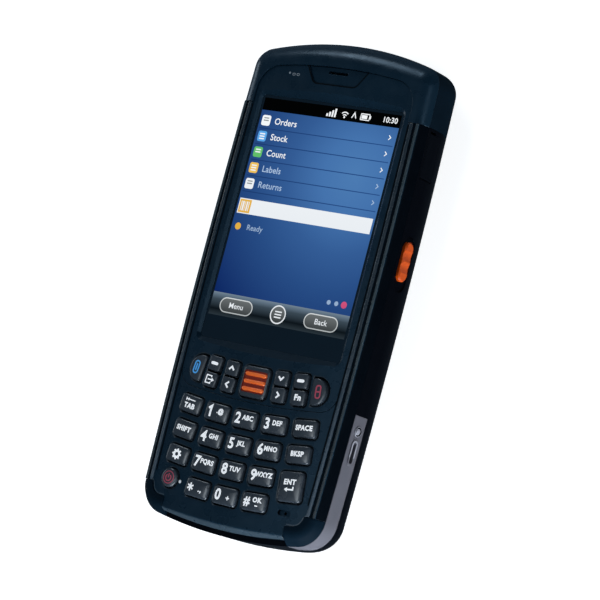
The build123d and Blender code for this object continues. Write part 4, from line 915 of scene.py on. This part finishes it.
# ---- back and dock ------------------------------------------------------------------------------
CONTACT_COUNT, CONTACT_PITCH, CONTACT_WIDTH = 12, 1.6, 0.8
CONTACT_SETBACK, CONTACT_LENGTH = 1.5, 4.0
CONTACT_LIFT, CONTACT_THICKNESS = 0.08, 0.06
TONGUE_TOP = 12.5
CAMERA_EYE = (-13.0, 44.0)
CAMERA_RINGS = (3.9, 2.5, 2.2)    # radii, from the outside in
WINDOW_OUTSIDE = 0.3           # height of the camera window's outer face


def on_tongue(u, v, lift):
    return (u, v, TONGUE_TOP + lift)


def on_window(u, v, lift):
    """u runs to the left as the back is looked at from behind."""
    return (CAMERA_EYE[0] - u, CAMERA_EYE[1] + v, WINDOW_OUTSIDE - lift)


def add_back_details():
    """Gilded contacts on the tongue of the dock connector and rings behind the camera window."""
    contacts = Print(on_tongue).pen(GOLD, CONTACT_LIFT)
    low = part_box("dock_connector")[0].y / MM + CONTACT_SETBACK
    for index in range(CONTACT_COUNT):
        left = CONTACT_PITCH * (index - (CONTACT_COUNT - 1) / 2) - CONTACT_WIDTH / 2
        contacts.patch(box(left, low, left + CONTACT_WIDTH, low + CONTACT_LENGTH))
    contacts.finish("dock_contacts", "housing", CONTACT_THICKNESS)
    rings = Print(on_window)
    rings.pen(BLACK_AND_SHADE).ring(0, 0, *CAMERA_RINGS[:2])
    rings.pen(RAIL).ring(0, 0, *CAMERA_RINGS[1:])
    rings.finish("camera_rings", "housing", THIN_PRINT)


# ---- picture on the display, with places measured from its centre -------------------------------
LENS_TOP = 24.0
DISPLAY_Y = 23.15
WIDE, TALL = 26.65, 35.55      # half sizes of the picture
STATUS_LOW, BAR_TOP = 31.5, -28.2
GROUND, LAYER_1, LAYER_2, LAYER_3 = 0.01, 0.02, 0.03, 0.04      # lifts
PICTURE_THICKNESS = 0.008
UI_TEXT = 2.5                  # letter size

ICON_LINE = 0.35
SIGNAL_X, SIGNAL_PITCH, SIGNAL_WIDTH, SIGNAL_STEP = -1.6, 1.0, 0.65, 0.6
RADIO_X, RADIO_RADII, RADIO_DOT = 5.4, (0.9, 1.7), 0.35
RADIO_ARC = (8, 45, 90)        # steps, start and sweep in degrees
CARET_X, CARET_HALF = 9.0, 0.8
CELL_X, CELL_SIZE = 13.2, (3.6, 2.2, 0.3, 0.3)
CLOCK_RIGHT = 25.6
ROWS = (                       # words, tile, tone of the words
    ("Orders", UI_WHITE, UI_WHITE), ("Stock", UI_AZURE, UI_WHITE), ("Count", UI_GREEN, UI_WHITE),
    ("Labels", UI_GOLD, UI_SOFT), ("Returns", UI_WHITE, UI_SOFT),
)
ROW_TOP, ROW_PITCH, ROW_HALF = 28.2, 5.2, 26.0
ROW_LINE = (-2.75, -2.45)      # separator, below the middle of its row
TILE_X, TILE_SIZE, TILE_CORNER = -24.0, 3.4, 0.7
TILE_MARK_HALF, TILE_MARK_PITCH = 1.0, 0.8
LABEL_X, LABEL_SIZE = -20.6, 2.9
ARROW_X, ARROW_REACH, ARROW_LINE = 24.2, 0.7, 0.3
FIELD = (-26.0, -2.4, 25.9, 2.5)
FIELD_BUTTON = (-25.7, -2.1, -21.2, 2.2)
STRIPES = ((-25.1, -24.8), (-24.5, -23.9), (-23.6, -23.4), (-23.0, -22.5), (-22.2, -21.9))
STRIPE_LOW, STRIPE_TOP = -1.5, 1.6
READY_V, DOTS_V = -6.6, -25.2
READY_DOT = (-24.1, READY_V, 1.15, 16)
DOTS = ((17.6, 0.75, UI_SOFT), (20.5, 0.75, UI_SOFT), (23.4, 1.1, UI_PINK))
PILL_X, PILL_SIZE, PILL_RIM, PILL_INSET = 16.6, (13.0, 4.9, 2.45), 0.35, 0.3
BUTTON_RADII = (3.0, 2.7, 2.6)     # outside, face, inside of the ring
MENU_PITCH, MENU_HALF_WIDTH, MENU_HALF_LINE = 0.9, 1.3, 0.2


def on_lens(u, v, lift):
    return (u, DISPLAY_Y + v, LENS_TOP + lift)


def draw_status(ui):
    """Signal, radio, caret, battery and time in the strip at the top."""
    v = (STATUS_LOW + TALL) / 2
    ui.pen(UI_WHITE, LAYER_1)
    ui.words("10:30", CLOCK_RIGHT, v, UI_TEXT, 0.04, 1.0, "RIGHT")
    for bar in range(4):
        left = SIGNAL_X + SIGNAL_PITCH * bar
        ui.patch(box(left, v - 1.3, left + SIGNAL_WIDTH, v - 0.4 + SIGNAL_STEP * bar))
    for radius in RADIO_RADII:
        ui.line(circle(RADIO_X, v - 1.0, radius, *RADIO_ARC), ICON_LINE)
    ui.patch(circle(RADIO_X, v - 0.9, RADIO_DOT, 10))
    ui.rim(CELL_X, v, *CELL_SIZE)
    ui.patch(box(CELL_X - 1.3, v - 0.6, CELL_X + 0.8, v + 0.6))
    ui.patch(box(CELL_X + 1.8, v - 0.5, CELL_X + 2.2, v + 0.5))
    caret = [(CARET_X - CARET_HALF, v - 0.8), (CARET_X, v + 0.9), (CARET_X + CARET_HALF, v - 0.8)]
    ui.line(caret, ICON_LINE)


def draw_rows(ui):
    """List of jobs, each with a tile, words and an arrow above a separator."""
    for index, (label, tile, tone) in enumerate(ROWS):
        v = ROW_TOP - ROW_PITCH * index
        ui.pen(tile, LAYER_1).patch(moved(rounded(TILE_SIZE, TILE_SIZE, TILE_CORNER), TILE_X, v))
        ui.pen(TILE_LINE if tile is UI_WHITE else UI_WHITE, LAYER_2)
        for line in range(3 if index % 2 else 2):
            drop = TILE_MARK_PITCH * line
            ui.patch(box(TILE_X - TILE_MARK_HALF, v + 0.6 - drop,
                         TILE_X + TILE_MARK_HALF, v + 1.0 - drop))
        ui.pen(tone, LAYER_1).words(label, LABEL_X, v, LABEL_SIZE, 0.03, 1.0, "LEFT")
        ui.line(chevron(ARROW_X, v, 0, ARROW_REACH), ARROW_LINE)
        low, high = (v + height for height in ROW_LINE)
        ui.pen(UI_LINE, LAYER_1).patch(box(-ROW_HALF, low, ROW_HALF, high))


def draw_field(ui):
    """Entry field with a barcode button, and what stands below it."""
    ui.pen(UI_WHITE, LAYER_1).patch(box(*FIELD))
    ui.pen(UI_GOLD, LAYER_2).patch(box(*FIELD_BUTTON))
    ui.pen(UI_WHITE, LAYER_3)
    for left, right in STRIPES:
        ui.patch(box(left, STRIPE_LOW, right, STRIPE_TOP))
    ui.pen(UI_GOLD, LAYER_1).patch(circle(*READY_DOT))
    ui.pen(UI_SOFT, LAYER_1).words("Ready", LABEL_X, READY_V, UI_TEXT, 0.03, 1.0, "LEFT")
    for u, radius, tone in DOTS:
        ui.pen(tone, LAYER_1).patch(circle(u, DOTS_V, radius, 16))


def draw_buttons(ui):
    """Round button between two pills in the bar at the bottom."""
    v = (BAR_TOP - TALL) / 2
    for centre, label in ((-PILL_X, "Menu"), (PILL_X, "Back")):
        ui.pen(UI_RING, LAYER_2).rim(centre, v, *PILL_SIZE, PILL_RIM)
        ui.pen(UI_PILL, LAYER_1).patch(moved(rounded(*PILL_SIZE, PILL_INSET), centre, v))
        ui.pen(UI_WHITE, LAYER_3).words(label, centre, v, UI_TEXT, 0.02)
    outer, face, inner = BUTTON_RADII
    ui.pen(UI_WHITE, LAYER_2).ring(0, v, outer, inner)
    ui.pen(UI_PILL, LAYER_1).patch(circle(0, v, face))
    ui.pen(UI_WHITE, LAYER_3)
    for line in (-1, 0, 1):
        middle = v + MENU_PITCH * line
        ui.patch(box(-MENU_HALF_WIDTH, middle - MENU_HALF_LINE,
                     MENU_HALF_WIDTH, middle + MENU_HALF_LINE))


def add_picture():
    """A generic list of jobs, an entry field and a bar with three buttons."""
    ui = Print(on_lens)
    ui.pen(PICTURE, GROUND).patch(box(-WIDE, BAR_TOP, WIDE, STATUS_LOW))
    ui.pen(BAR_BLACK, GROUND).patch(box(-WIDE, STATUS_LOW, WIDE, TALL))
    ui.pen(BAR_GREY, GROUND).patch(box(-WIDE, -TALL, WIDE, BAR_TOP))
    for draw in (draw_status, draw_rows, draw_field, draw_buttons):
        draw(ui)
    ui.finish("display_picture", "housing", PICTURE_THICKNESS)


add_camera()
add_studio()
add_floor()
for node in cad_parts:
    dress(node, NODE_LOOKS.get(node, KEY))
dress_front()
add_keys()
add_front_details()
add_flank_details()
add_back_details()
add_picture()
